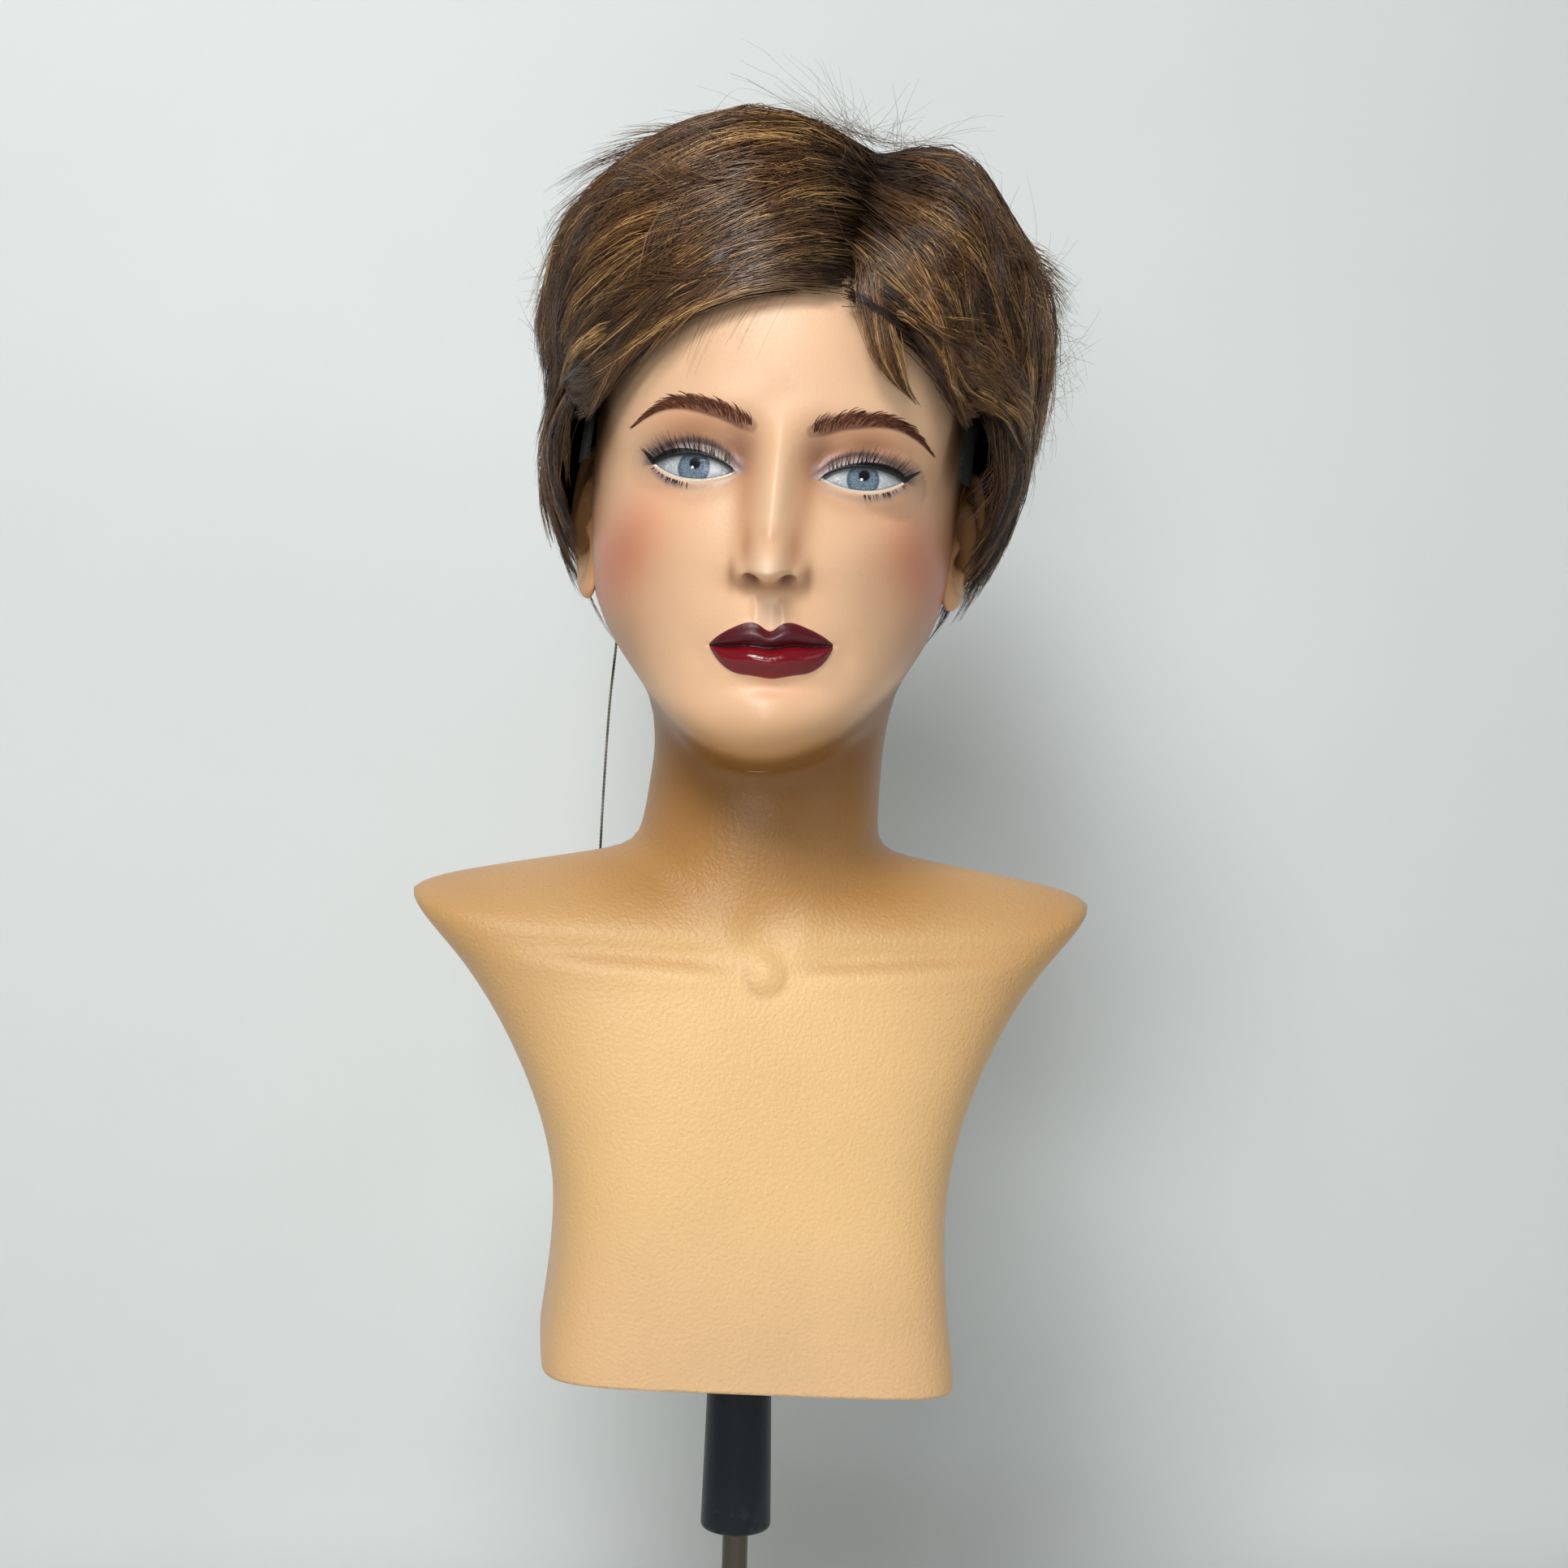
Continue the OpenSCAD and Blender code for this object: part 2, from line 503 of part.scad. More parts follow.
function cone_r(z) = cone_rim_r + (cone_top_r - cone_rim_r) * z / cone_len;
module holder_cone() {
  color(SLATE) translate([0, 0, cone_z]) difference() {
    rotate_extrude() difference() {
      offset(r = cone_round, $fn = 24) offset(delta = -cone_round)
        polygon([[-cone_rim_r, 0], [cone_rim_r, 0], [cone_top_r, cone_len], [-cone_top_r, cone_len]]);
      translate([-2 * cone_rim_r, -1]) square([2 * cone_rim_r, cone_len + 2]);
    }
    translate([0, 0, -1]) cylinder(h = tube_inside + end_gap + 1, r = journal_r + turn_gap);
    cylinder(h = cone_len, r = keeper_d / 2 + 0.4);
    translate([0, 0, cone_len - recess_h]) cylinder(h = recess_h + 1, r = recess_r);
  }
}

// ---------------------------------------------------------------- fittings in the base
board_z = base_z + hb * tan(base_slant) + board_inset;
board_top = board_z + board_t;
flange_top = board_top + flange_t;
cone_top = cone_z + cone_len;
pad_z = cone_top + end_gap;
socket_top = pad_z + pad_t + socket_wall;
// Radius of the socket's bore at height z, and of its outside
function socket_r(z) = cone_r(z - cone_z) + socket_gap;
socket_out_r = socket_r(board_top) + socket_wall;
board_hole_r = socket_r(board_z) + 1.2;
block_x = hw - wall - block_w / 2 - 2.5;
block_front_y = -(base_front - 38);
block_back_y = base_back - 30;
BLOCKS = [for (x = [-block_x, block_x], y = [block_front_y, block_back_y]) [x, y]];
wood_screw_len = board_t + block_h - 6;
wood_head_r = wood_screw_d;
wood_head_h = 2.2;
screw_fit = 0.05;
FLANGE_SCREWS = [for (a = [45:90:315]) flange_circle_d / 2 * [cos(a), sin(a)]];
flange_screw_len = flange_t + board_t - 1;
flange_head_r = flange_screw_d * 0.9;
flange_head_h = 2.4;

// Outline of the board: the inside of the shells at its height, drawn in by a glue gap
board_gap = 0.5;
module board_outline() {
  us = concat(INNER_FRONT_U, [for (i = [1:len(INNER_REAR_U) - 2]) INNER_REAR_U[i]]);
  low = inner_ring(spline(RINGS, INNER_ROWS[0]));
  high = inner_ring(spline(RINGS, INNER_ROWS[1]));
  f = (board_top - base_z - low[1]) / (high[1] - low[1]);
  offset(delta = -board_gap) polygon([for (u = us)
    let(p = between(ring_point(low, u), ring_point(high, u), f)) [p[0], p[1]]]);
}
module base_board() {
  color(BOARD) translate([0, 0, board_z]) difference() {
    linear_extrude(board_t) board_outline();
    translate([0, 0, -1]) cylinder(h = board_t + 2, r = board_hole_r);
    for (p = BLOCKS) translate([p[0], p[1], -1]) cylinder(h = board_t + 2, r = wood_screw_d / 2 + screw_fit);
    for (p = BLOCKS) translate([p[0], p[1], -1]) cylinder(h = wood_head_h + 1, r = wood_head_r + 0.3);
    for (p = FLANGE_SCREWS)
      translate([p[0], p[1], 1]) cylinder(h = board_t, r = flange_screw_d / 2 + screw_fit);
  }
}
module corner_blocks() {
  color(BOARD) for (p = BLOCKS) translate([p[0], p[1], board_top]) difference() {
    linear_extrude(block_h) offset(r = 1.5, $fn = 12) square(block_w - 3, center = true);
    translate([0, 0, -1]) cylinder(h = wood_screw_len - board_t + 2, r = wood_screw_d / 2 + screw_fit);
  }
}
module board_screws() {
  color(STEEL) for (p = BLOCKS) translate([p[0], p[1], board_z + 0.2]) {
    cylinder(h = wood_screw_len, r = wood_screw_d / 2);
    cylinder(h = wood_head_h - 0.2, r = wood_head_r);
  }
}
module socket_flange() {
  color(STEEL) translate([0, 0, board_top]) difference() {
    cylinder(h = flange_t, r = flange_d / 2);
    translate([0, 0, -1]) cylinder(h = flange_t + 2, r = socket_out_r + 0.05);
    for (p = FLANGE_SCREWS)
      translate([p[0], p[1], -1]) cylinder(h = flange_t + 2, r = flange_screw_d / 2 + 0.2);
  }
}
// Tapered tube that drops over the cone, closed at the top
module socket_tube() {
  color(STEEL) difference() {
    translate([0, 0, board_top]) cylinder(h = socket_top - board_top, r = socket_out_r);
    translate([0, 0, board_top - 1])
      cylinder(h = pad_z + pad_t - board_top + 1, r1 = socket_r(board_top - 1), r2 = socket_r(pad_z + pad_t));
  }
}
module flange_screws() {
  color(STEEL) for (p = FLANGE_SCREWS) translate([p[0], p[1], flange_top]) {
    translate([0, 0, -flange_screw_len]) cylinder(h = flange_screw_len, r = flange_screw_d / 2);
    cylinder(h = flange_head_h, r1 = flange_head_r, r2 = flange_head_r * 0.75);
  }
}
module socket_pad() {
  color("dimgray") translate([0, 0, pad_z]) cylinder(h = pad_t - 0.1, r = socket_r(pad_z + pad_t) - 0.2);
}

// ---------------------------------------------------------------- lashes
lash_cols = 16;
lash_gap = 0.8;
// Depth of the bare form from the ears' axis, at x from the middle and height z over the chin
function bare_depth(x, z) = let(r = spline(RINGS, ring_at(0, z)))
  r[4] * pow(max(0, 1 - pow(abs(x) / r[3], r[6])), 1 / r[6]) + ear_axis_y;
function lid_depth(x, z) = let(a = abs(x))
  eyes(a, z, bare_depth(x + face_shift, z - eye_tilt * x) + soft_forms(a, z));
// A point of a lash ribbon: q along the lid, v from its root, 0, to its tip, 1, o its thickness
function lash_point(side, q, v, o) =
  let(dx = q * eye_half, x = eye_span / 2 + dx + 3.5 * v * q,
      long = lash_len * (0.45 + 0.55 * smooth(-1, 0.6, q)),
      root_z = eye_z + lid_up(q), a = eye_span / 2 + dx,
      lid = max([for (dz = [0.6, 1.4, 2.4], da = [-1, 1]) lid_depth(side * (a + da), root_z + dz)]),
      out = lash_gap + long * sin(65 * v) * 0.75, rise = 0.3 + long * (1 - cos(85 * v)) * 0.62)
  posed([side * x + face_shift, ear_axis_y - lid - out + o * v,
         chin_h + root_z - eye_tilt * side * x + rise + o]);
module lash_strip(side) {
  function q(j) = side * (j / lash_cols * 1.9 - 0.95);
  function sheet(o) = [for (i = [0:2]) [for (j = [0:lash_cols])
    lash_point(side, q(j), i == 2 ? (j % 2 == 0 ? 1 : 0.55) : 0.3 * i, o * (1 - 0.3 * i))]];
  color(LASH) between_sheets(sheet(0), sheet(0.4));
}
module lash_strip_left() { lash_strip(-1); }
module lash_strip_right() { lash_strip(1); }

// ---------------------------------------------------------------- wig
// The wig is lifted off along a line that leans back, so below the widest part of the head at azimuth u
// the cap's inside follows that line in place of the head.
function widest_z(u) = 131 + 24 * cos(u) + 17 * pow(sin(u), 2);
// Outward direction of the wig's layers at an unposed point
function outward(p) = let(h = max(0, p[2] - chin_h - 130 * zk) / pow(98 * zk, 2),
    v = [p[0] / pow(72 * wk, 2), (p[1] - ear_axis_y) / pow(94 * fk, 2), h]) v / norm(v);
// Point o outside the cap's room, at azimuth u and ring number t
function wig_base(u, t) =
  let(p = ring_point(spline(RINGS, t), u), z = p[2] - chin_h, over = widest_z(u) * zk - z)
  over <= 0 ? p :
  let(w = ring_point(spline(RINGS, ring_at(u, widest_z(u) * zk)), u))
  [w[0] + 0.02 * over * sign(w[0]), w[1] - over * tan(lift_lean) + 0.02 * over, p[2]];
function wig_point(u, t, o) = let(p = wig_base(u, t)) posed(p + outward(p) * o);
cap_in = cap_gap;
cap_out = cap_gap + cap_t;
layer_t = 1;
hair_in = cap_out + layer_t + 1.1;
// Heights over the chin of the lower edges of cap and hair, by azimuth
CAP_EDGE = [[0, 178], [20, 176], [38, 160], [50, 146], [60, 136], [70, 131], [90, 128], [110, 121],
            [120, 84], [130, 62], [150, 52], [180, 50]];
HAIR_EDGE = [[-180, 42], [-150, 42], [-125, 48], [-110, 68], [-102, 88], [-92, 106], [-80, 112], [-68, 116],
             [-60, 120], [-50, 130], [-38, 145], [-25, 158], [-10, 165], [8, 172], [14, 172], [20, 163],
             [26, 150], [34, 130], [42, 140], [52, 134], [60, 122], [70, 114], [82, 110], [92, 106],
             [102, 88], [110, 68], [125, 50], [150, 42], [180, 42]];
function turn_of(u) = u > 180 ? u - 360 : u;
function cap_edge(u) = lookup(abs(turn_of(u)), CAP_EDGE) * zk;
function hair_edge(u) = lookup(turn_of(u), HAIR_EDGE) * zk;

col_step = 10;
cap_rows = 16;
CAP_U = [for (i = [0:36 - 1]) -180 + col_step * i];
// Row v of a sheet that runs from the lower edge, 0, to the crown, 1
function row_t(u, edge, v) = let(t = ring_at(u, edge)) t + (T_TOP - t) * v;
function spread(n) = [for (i = [0:n]) let(v = i / n) v * (1.25 - 0.25 * v)];
module wig_cap() {
  function sheet(o) = [for (v = spread(cap_rows))
    [for (u = CAP_U) wig_point(u, row_t(u, cap_edge(u), v), o)]];
  color(LACE) between_sheets(sheet(cap_out), sheet(cap_in), closed = true, pole = true);
}
// Piece of a layer between azimuths u0 and u1 and heights given by azimuth, from offset o0 to o1
module patch(us, low, high, o0, o1, rows = 1) {
  function z(k, u) = is_list(k) ? k[0] + k[1] * (cap_edge(u) / zk) : k;
  function sheet(o) = [for (i = [0:rows]) [for (u = us)
    wig_point(u, ring_at(u, zk * between(z(low, u), z(high, u), i / rows)), o)]];
  between_sheets(sheet(o1), sheet(o0));
}
function steps(a, b, d = 10) = let(n = max(1, round((b - a) / d))) [for (i = [0:n]) a + (b - a) * i / n];
layer_in = cap_out + 0.3;
layer_out = layer_in + layer_t;
// Lace band on the cap's front edge
module front_band() {
  color("dimgray") patch(steps(-50, 50), [0.5, 1], [11, 1], layer_in, layer_out, 2);
}
// Patch under the parting
module parting_patch() {
  color("tan") patch(steps(10, 30), 197, 219, layer_in, layer_out, 5);
}
module ear_tab(side) {
  mid = 64;
  half = atan(tab_w / 2 / (skull_w / 2 + 6));
  us = side > 0 ? [mid - half, mid, mid + half] : [-mid - half, -mid, -mid + half];
  color(LACE) patch(us, 103, 140, layer_in, layer_out, 3);
}
module ear_tab_left() { ear_tab(-1); }
module ear_tab_right() { ear_tab(1); }
// Stitched rows that carry the hair
module weft_rows() {
  color("saddlebrown") {
    patch(steps(80, 280), 146, 150, layer_in, layer_out);
    patch(steps(-50, 50), [13, 1], [16, 1], layer_in, layer_out);
    patch(steps(110, 250), 118, 122, layer_in, layer_out);
    patch(steps(120, 240), 88, 92, layer_in, layer_out);
  }
}
// Elastic straps across the nape
module strap(side) {
  us = side > 0 ? steps(120, 160) : steps(200, 240);
  color("black") patch(us, 66, 66 + strap_w, layer_in, layer_out);
}
module strap_left() { strap(-1); }
module strap_right() { strap(1); }
module strap_hooks() {
  color(STEEL) for (us = [[161, 164.5, 168], [192, 195.5, 199]])
    patch(us, 66.5, 65.5 + strap_w, layer_in, layer_out);
}

// Hair: thickness over the cap. It is thin along the parting and tapers towards its lower edge.
part_x = 23;
function hair_thick(p, z, u, edge) =
  let(parted = 0.66 * bell(p[0] - part_x, 12) * smooth(5, -30, p[1]) * smooth(150, 185, z),
      full = hair_t * (1 - parted) * (1 - 0.16 * smooth(0.2, -0.9, cos(u))) * (1 - 0.17 * smooth(20, 60, p[0])
             * smooth(170, 225, z)) * (1 - 0.24 * smooth(170, 228, z)),
      low = smooth(-4, 46, z - edge))
  hair_edge_t + max(0, full - hair_edge_t) * (0.05 + 0.95 * low);
function waves(u, t) = lock_depth * (0.6 * sin(15 * u + 40 * t) + 0.4 * sin(9 * u - 60 * t));
// Point of the hair at azimuth u and row v; out is 0 for its inside, 1 for its outside
function hair_point(u, v, out) =
  let(edge = hair_edge(u), t = row_t(u, edge, v), p = wig_base(u, t), z = p[2] - chin_h, a = abs(turn_of(u)),
      room = ear_room * smooth(133, 121, z / zk) * smooth(57, 67, a) * smooth(127, 111, a)
             * smooth(52, 88, z / zk),
      th = hair_thick(p, z / zk, u, edge / zk), wave = waves(u, t) * smooth(1, 0.9, v),
      skin_o = hair_in + room)
  posed(p + outward(p) * (out > 0 ? blend_max(skin_o + 6, cap_out + th, 3) + wave : skin_o));
hair_rows = 14;
crown_row = 10;
nape_row = 4;
V = [for (i = [0:hair_rows]) let(v = i / hair_rows) v * (1.35 - 0.35 * v)];
module hair_piece(u0, u1, row0, row1) {
  function sheet(out, m) = [for (i = [row0:row1])
    [for (u = steps(u0, u1, 5 * m)) hair_point(u, V[i], out)]];
  color(HAIR) between_sheets(sheet(1, 1), sheet(0, 2), mc = 2);
}
module hair_crown() {
  function sheet(out, m) = [for (i = [crown_row:hair_rows])
    [for (u = [-180:5 * m:179]) hair_point(u, V[i], out)]];
  color(HAIR) between_sheets(sheet(1, 1), sheet(0, 2), closed = true, pole = true, mc = 2);
}
module hair_fringe() { hair_piece(-60, 10, 0, crown_row); }
module hair_front_lock() { hair_piece(10, 60, 0, crown_row); }
module hair_side_left() { hair_piece(-120, -60, 0, crown_row); }
module hair_side_right() { hair_piece(60, 120, 0, crown_row); }
module hair_back() { hair_piece(120, 240, nape_row, crown_row); }
module hair_nape() { hair_piece(120, 240, 0, nape_row); }

// Tag string: a run of short straight lengths
string_u = -128;
string_o = cap_out + 0.65;
string_top = wig_point(string_u, ring_at(string_u, 60 * zk), string_o);
string_exit = wig_point(string_u, ring_at(string_u, 40 * zk), string_o);
string_x = -hw + 16;
string_y = base_back + 12.5;
STRING = [string_top, string_exit, [string_x + 2, string_y - 1, chin_z + 24],
          [string_x + 1, string_y, chin_z], [string_x, string_y + 0.5, chin_z - 28],
          [string_x - 0.5, string_y + 0.5, chin_z - 56],
          [string_x - 1, string_y, chin_z - 82]];
STRING_PATH = [for (i = [0:0.5:len(STRING) - 1]) spline(STRING, i)];
module tag_string() {
  sides = 8;
  r = string_d / 2;
  n = len(STRING_PATH);
  color("ivory") polyhedron(
    points = [for (p = STRING_PATH, k = [0:sides - 1])
      p + r * [cos(360 * k / sides), sin(360 * k / sides), 0]],
    faces = concat([[for (k = [sides - 1:-1:0]) k]], [[for (k = [0:sides - 1]) (n - 1) * sides + k]],
      [for (i = [0:n - 2], k = [0:sides - 1]) let(a = i * sides + k, b = i * sides + (k + 1) % sides)
        each [[a, b, a + sides], [b, b + sides, a + sides]]]));
}
module string_knot() {
  color("ivory") translate(STRING_PATH[len(STRING_PATH) - 1] - [0, 0, string_d * 1.3 + 0.02])
    sphere(r = string_d * 1.3, $fn = 16);
}

stand_tube();
tube_insert();
keeper_screw();
keeper_washer();
holder_cone();
front_shell();
rear_shell();
seam_tape();
base_board();
corner_blocks();
board_screws();
socket_flange();
socket_tube();
flange_screws();
socket_pad();
lash_strip_left();
lash_strip_right();
wig_cap();
front_band();
parting_patch();
ear_tab_left();
ear_tab_right();
weft_rows();
strap_left();
strap_right();
strap_hooks();
hair_crown();
hair_fringe();
hair_front_lock();
hair_side_left();
hair_side_right();
hair_back();
hair_nape();
tag_string();
string_knot();
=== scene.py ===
"""Wig display head: a painted glass-fibre head and bust with a short brown wig, on its tapered holder.

Points are worked out in millimetres over the bust's base and put into the frame by in_frame().
Left and right are those of somebody who looks at the face; azimuth 0 is the face, 90 is +X.
"""
from math import cos, pi, radians, sin, tan

import bpy
import numpy as np
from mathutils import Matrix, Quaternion, Vector
from mathutils.bvhtree import BVHTree


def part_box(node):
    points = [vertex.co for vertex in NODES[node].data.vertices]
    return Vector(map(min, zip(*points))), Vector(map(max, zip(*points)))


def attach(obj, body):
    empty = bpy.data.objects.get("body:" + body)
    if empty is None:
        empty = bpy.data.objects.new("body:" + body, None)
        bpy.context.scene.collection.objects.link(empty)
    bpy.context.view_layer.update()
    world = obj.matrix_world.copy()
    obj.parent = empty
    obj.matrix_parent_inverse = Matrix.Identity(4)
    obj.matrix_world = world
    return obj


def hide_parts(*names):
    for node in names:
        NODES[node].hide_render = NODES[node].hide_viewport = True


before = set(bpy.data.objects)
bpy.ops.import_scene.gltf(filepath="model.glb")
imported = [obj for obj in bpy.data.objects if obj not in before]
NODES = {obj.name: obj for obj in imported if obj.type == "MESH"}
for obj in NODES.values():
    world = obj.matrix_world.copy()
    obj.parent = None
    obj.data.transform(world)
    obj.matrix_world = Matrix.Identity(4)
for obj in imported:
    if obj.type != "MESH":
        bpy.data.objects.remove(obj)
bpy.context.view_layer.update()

# ------------------------------------------------------------------ sizes, in millimetres
SLANT = radians(2.4)
BASE_HALF = 78.0
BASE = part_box("front_shell")[0][2] * 1000 + 1 + BASE_HALF * tan(SLANT)   # the base over the tube's end
CHIN = 234.0            # chin over the base
HEAD_Y = -8.0           # the ears' axis in front of the holder's axis
TURN = radians(-8.0)    # turn of the head on the neck
FACE_X = 3.2            # the face's middle lies this far to the right of the skull's
EYE_X, EYE_Z = 30.0, 98.2
EYE_HALF, EYE_TILT = 14.8, 0.013
LIP_Z, LIP_HALF, LIP_TILT = 36.6, 22.0, 0.018
WALL = 3.0
SEAM = radians(100)     # azimuth of the seam between the two shells


# ------------------------------------------------------------------ camera
def make_camera():
    """Camera 0.88 m from the head, level, a little to the left and rolled by 1.6 degrees."""
    azimuth, distance, roll = radians(-6.5), 0.88, radians(1.6)
    target = Vector((0.011, 0, (BASE + 222.7) / 1000))
    camera = bpy.data.objects.new("camera", bpy.data.cameras.new("camera"))
    bpy.context.scene.collection.objects.link(camera)
    camera.location = target + Vector((sin(azimuth), -cos(azimuth), 0)) * distance
    look = (target - camera.location).to_track_quat("-Z", "Y")
    camera.rotation_mode = "QUATERNION"
    camera.rotation_quaternion = look @ Quaternion((0, 0, 1), roll)
    camera.data.lens = 51.4
    camera.data.sensor_width = 36
    camera.data.clip_start = 0.01
    bpy.context.scene.camera = camera


make_camera()


# ------------------------------------------------------------------ curves and blends
def smooth(low, high, v):
    """0 below low, 1 above high, and 3q^2 - 2q^3 between."""
    q = np.clip((v - low) / (high - low), 0, 1)
    return q * q * (3 - 2 * q)


def hump(x, z, cx, cz, rx, rz):
    """Bell over a point: exp(-((x-cx)/rx)^2 - ((z-cz)/rz)^2)."""
    return np.exp(-((x - cx) / rx) ** 2 - ((z - cz) / rz) ** 2)


def flat_hump(x, z, cx, cz, rx, rz, power):
    """Bell over a point that is flatter on top and steeper at its sides the more power is over 1."""
    return np.exp(-(((x - cx) / rx) ** 2 + ((z - cz) / rz) ** 2) ** power)


def bell(d, w):
    """exp(-(d/w)^2)."""
    return np.exp(-(d / w) ** 2)


def blend_max(a, b, k):
    """The larger of a and b, rounded over about k."""
    h = np.clip(0.5 + 0.5 * (a - b) / k, 0, 1)
    return b + (a - b) * h + k * h * (1 - h)


def b_spline(p, t):
    """Uniform cubic B-spline of the rows of p; t counts rows from the second one."""
    i = t.astype(int)
    f = (t - i)[:, None]
    return ((1 - f) ** 3 * p[i] + (3 * f ** 3 - 6 * f ** 2 + 4) * p[i + 1]
            + (-3 * f ** 3 + 3 * f ** 2 + 3 * f + 1) * p[i + 2] + f ** 3 * p[i + 3]) / 6


def spline(table, t):
    """B-spline through the rows of table; t counts rows and the ends are held."""
    p = np.vstack([2 * table[0] - table[1], table, 2 * table[-1] - table[-2]])
    return b_spline(p, np.clip(t, 0, len(table) - 1 - 1e-9))


def closed_curve(table, n):
    """n points of the closed B-spline of table."""
    table = np.array(table, float)
    return b_spline(np.vstack([table[-1:], table, table[:2]]), np.arange(n) * len(table) / n)


def through(points, n):
    """n points of the B-spline through given points, its ends held."""
    points = np.array(points, float)
    return spline(points, np.linspace(0, len(points) - 1, n))


# ------------------------------------------------------------------ meshes
def in_frame(p):
    """Millimetres over the base to metres in the frame."""
    q = np.array(p, float)
    q[..., 2] += BASE
    return q / 1000


def make_piece(name, points, faces, body, material):
    """Smooth object from points over the base in millimetres and faces, riding on a CAD body."""
    mesh = bpy.data.meshes.new(name)
    mesh.from_pydata(in_frame(points).reshape(-1, 3).tolist(), [],
                     faces.tolist() if hasattr(faces, "tolist") else faces)
    mesh.materials.append(material)
    mesh.polygons.foreach_set("use_smooth", [True] * len(mesh.polygons))
    mesh.update()
    piece = bpy.data.objects.new(name, mesh)
    bpy.context.scene.collection.objects.link(piece)
    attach(piece, body)
    return piece


def set_colours(mesh, name, colours):
    """Colour attribute on the points of a mesh from an array of linear colours."""
    data = mesh.color_attributes.new(name, "FLOAT_COLOR", "POINT")
    colours = colours.reshape(-1, 3)
    data.data.foreach_set("color", np.concatenate([colours, np.ones((len(colours), 1))], 1).ravel())


def grid_faces(rows, cols, closed, start=0):
    """Quads of a grid of points, rows upwards and columns to the right as seen from outside."""
    i, j = np.meshgrid(np.arange(rows - 1), np.arange(cols if closed else cols - 1), indexing="ij")
    k = (j + 1) % cols
    return (np.stack([i * cols + j, i * cols + k, (i + 1) * cols + k, (i + 1) * cols + j], -1)
            .reshape(-1, 4) + start)


def capped_tube(rows, cols, start=0, turned=False):
    """Faces of a closed tube: its grid and its two ends; turned puts their other side outside and keeps the
    diagonals."""
    ends = [np.arange(cols)[::-1], (rows - 1) * cols + np.arange(cols)]
    faces = grid_faces(rows, cols, True, start).tolist() + [(end + start).tolist() for end in ends]
    return [face[:1] + face[:0:-1] for face in faces] if turned else faces


def shell(outer, inner):
    """Points and faces of a closed wall between two grids of rings: the inner one looks inwards, each has a
    face at its top, and the rim joins each side of the inner one's first ring to its share of the outer's."""
    (rows, cols), (rows_in, cols_in) = outer.shape[:2], inner.shape[:2]
    start, share, j = rows * cols, cols // cols_in, np.arange(cols_in)
    faces = np.concatenate([grid_faces(rows, cols, True),
                            grid_faces(rows_in, cols_in, True, start)[:, ::-1]]).tolist()
    rim = [(share * j + i) % cols for i in range(share, -1, -1)] + [start + j, start + (j + 1) % cols_in]
    faces += np.stack(rim, -1).tolist()
    faces.append(((rows - 1) * cols + np.arange(cols)).tolist())
    faces.append((start + (rows_in - 1) * cols_in + j[::-1]).tolist())
    return np.concatenate([outer.reshape(-1, 3), inner.reshape(-1, 3)]), faces


def unit(v):
    """Vectors made 1 long."""
    return v / (np.linalg.norm(v, axis=-1, keepdims=True) + 1e-12)


def across(along, ref):
    """Two unit vectors across along, the first of them across ref too."""
    side = unit(np.cross(along, ref))
    return side, np.cross(side, along)


def circle(side, up, angle):
    """Points of unit circles in the planes of side and up."""
    return side[..., None, :] * np.cos(angle)[..., None] + up[..., None, :] * np.sin(angle)[..., None]


def tubes(paths, radii, sides=3):
    """Closed tubes: paths is (count, steps, 3), radii (count, steps). The section is a regular polygon
    across the path; both ends are closed by a face. Returns points and a list of faces."""
    count, steps = paths.shape[:2]
    along = unit(np.gradient(paths, axis=1))
    ref = np.where(np.abs(along[..., :1]) > STEEP, (0.0, 1.0, 0.0), (1.0, 0.0, 0.0))
    ring = circle(*across(along, ref), 2 * pi * np.arange(sides) / sides)
    points = paths[:, :, None] + ring * radii[:, :, None, None]
    base = (np.arange(count) * steps * sides)[:, None, None]
    quads = (grid_faces(steps, sides, True)[None, :, [0, 3, 2, 1]] + base).reshape(-1, 4)
    first = (np.arange(sides)[None] + base[:, 0]).tolist()
    last = ((steps - 1) * sides + np.arange(sides)[::-1][None] + base[:, 0]).tolist()
    return points.reshape(-1, 3), quads.tolist() + first + last


STEEP = 0.8     # a path that runs this much along X takes its sections' first side from Y


# ------------------------------------------------------------------ colours and shader nodes
def linear(r, g, b):
    """sRGB 0-255 to linear."""
    c = np.array([r, g, b], float) / 255
    return np.where(c <= 0.04045, c / 12.92, ((c + 0.055) / 1.055) ** 2.4)


def feed(tree, socket, value):
    """Link a socket to another, or set it to a number, a vector or a colour of three."""
    if hasattr(value, "node"):
        tree.links.new(value, socket)
    elif np.size(value) == 3:
        socket.default_value = tuple(value) + ((1,) if socket.type == "RGBA" else ())
    else:
        socket.default_value = value


def add(tree, kind, inputs=None, **values):
    """New shader node; values are its properties, inputs the sources of its sockets by name or number."""
    node = tree.nodes.new(kind)
    for key, value in values.items():
        setattr(node, key, value)
    for key, value in (inputs or {}).items():
        feed(tree, node.inputs[key], value)
    return node


def new_material(name):
    """Empty node material and its tree."""
    material = bpy.data.materials.new(name)
    material.use_nodes = True
    return material, material.node_tree


def finished(material, colour, roughness, specular=0.5, normal=None):
    """The material with its Principled shader's sockets fed."""
    tree = material.node_tree
    shader = tree.nodes["Principled BSDF"]
    feed(tree, shader.inputs["Base Color"], colour)
    feed(tree, shader.inputs["Roughness"], roughness)
    shader.inputs["Specular IOR Level"].default_value = specular
    if normal is not None:
        feed(tree, shader.inputs["Normal"], normal)
    return material


def object_place(tree):
    """Object coordinates."""
    return add(tree, "ShaderNodeTexCoord").outputs["Object"]


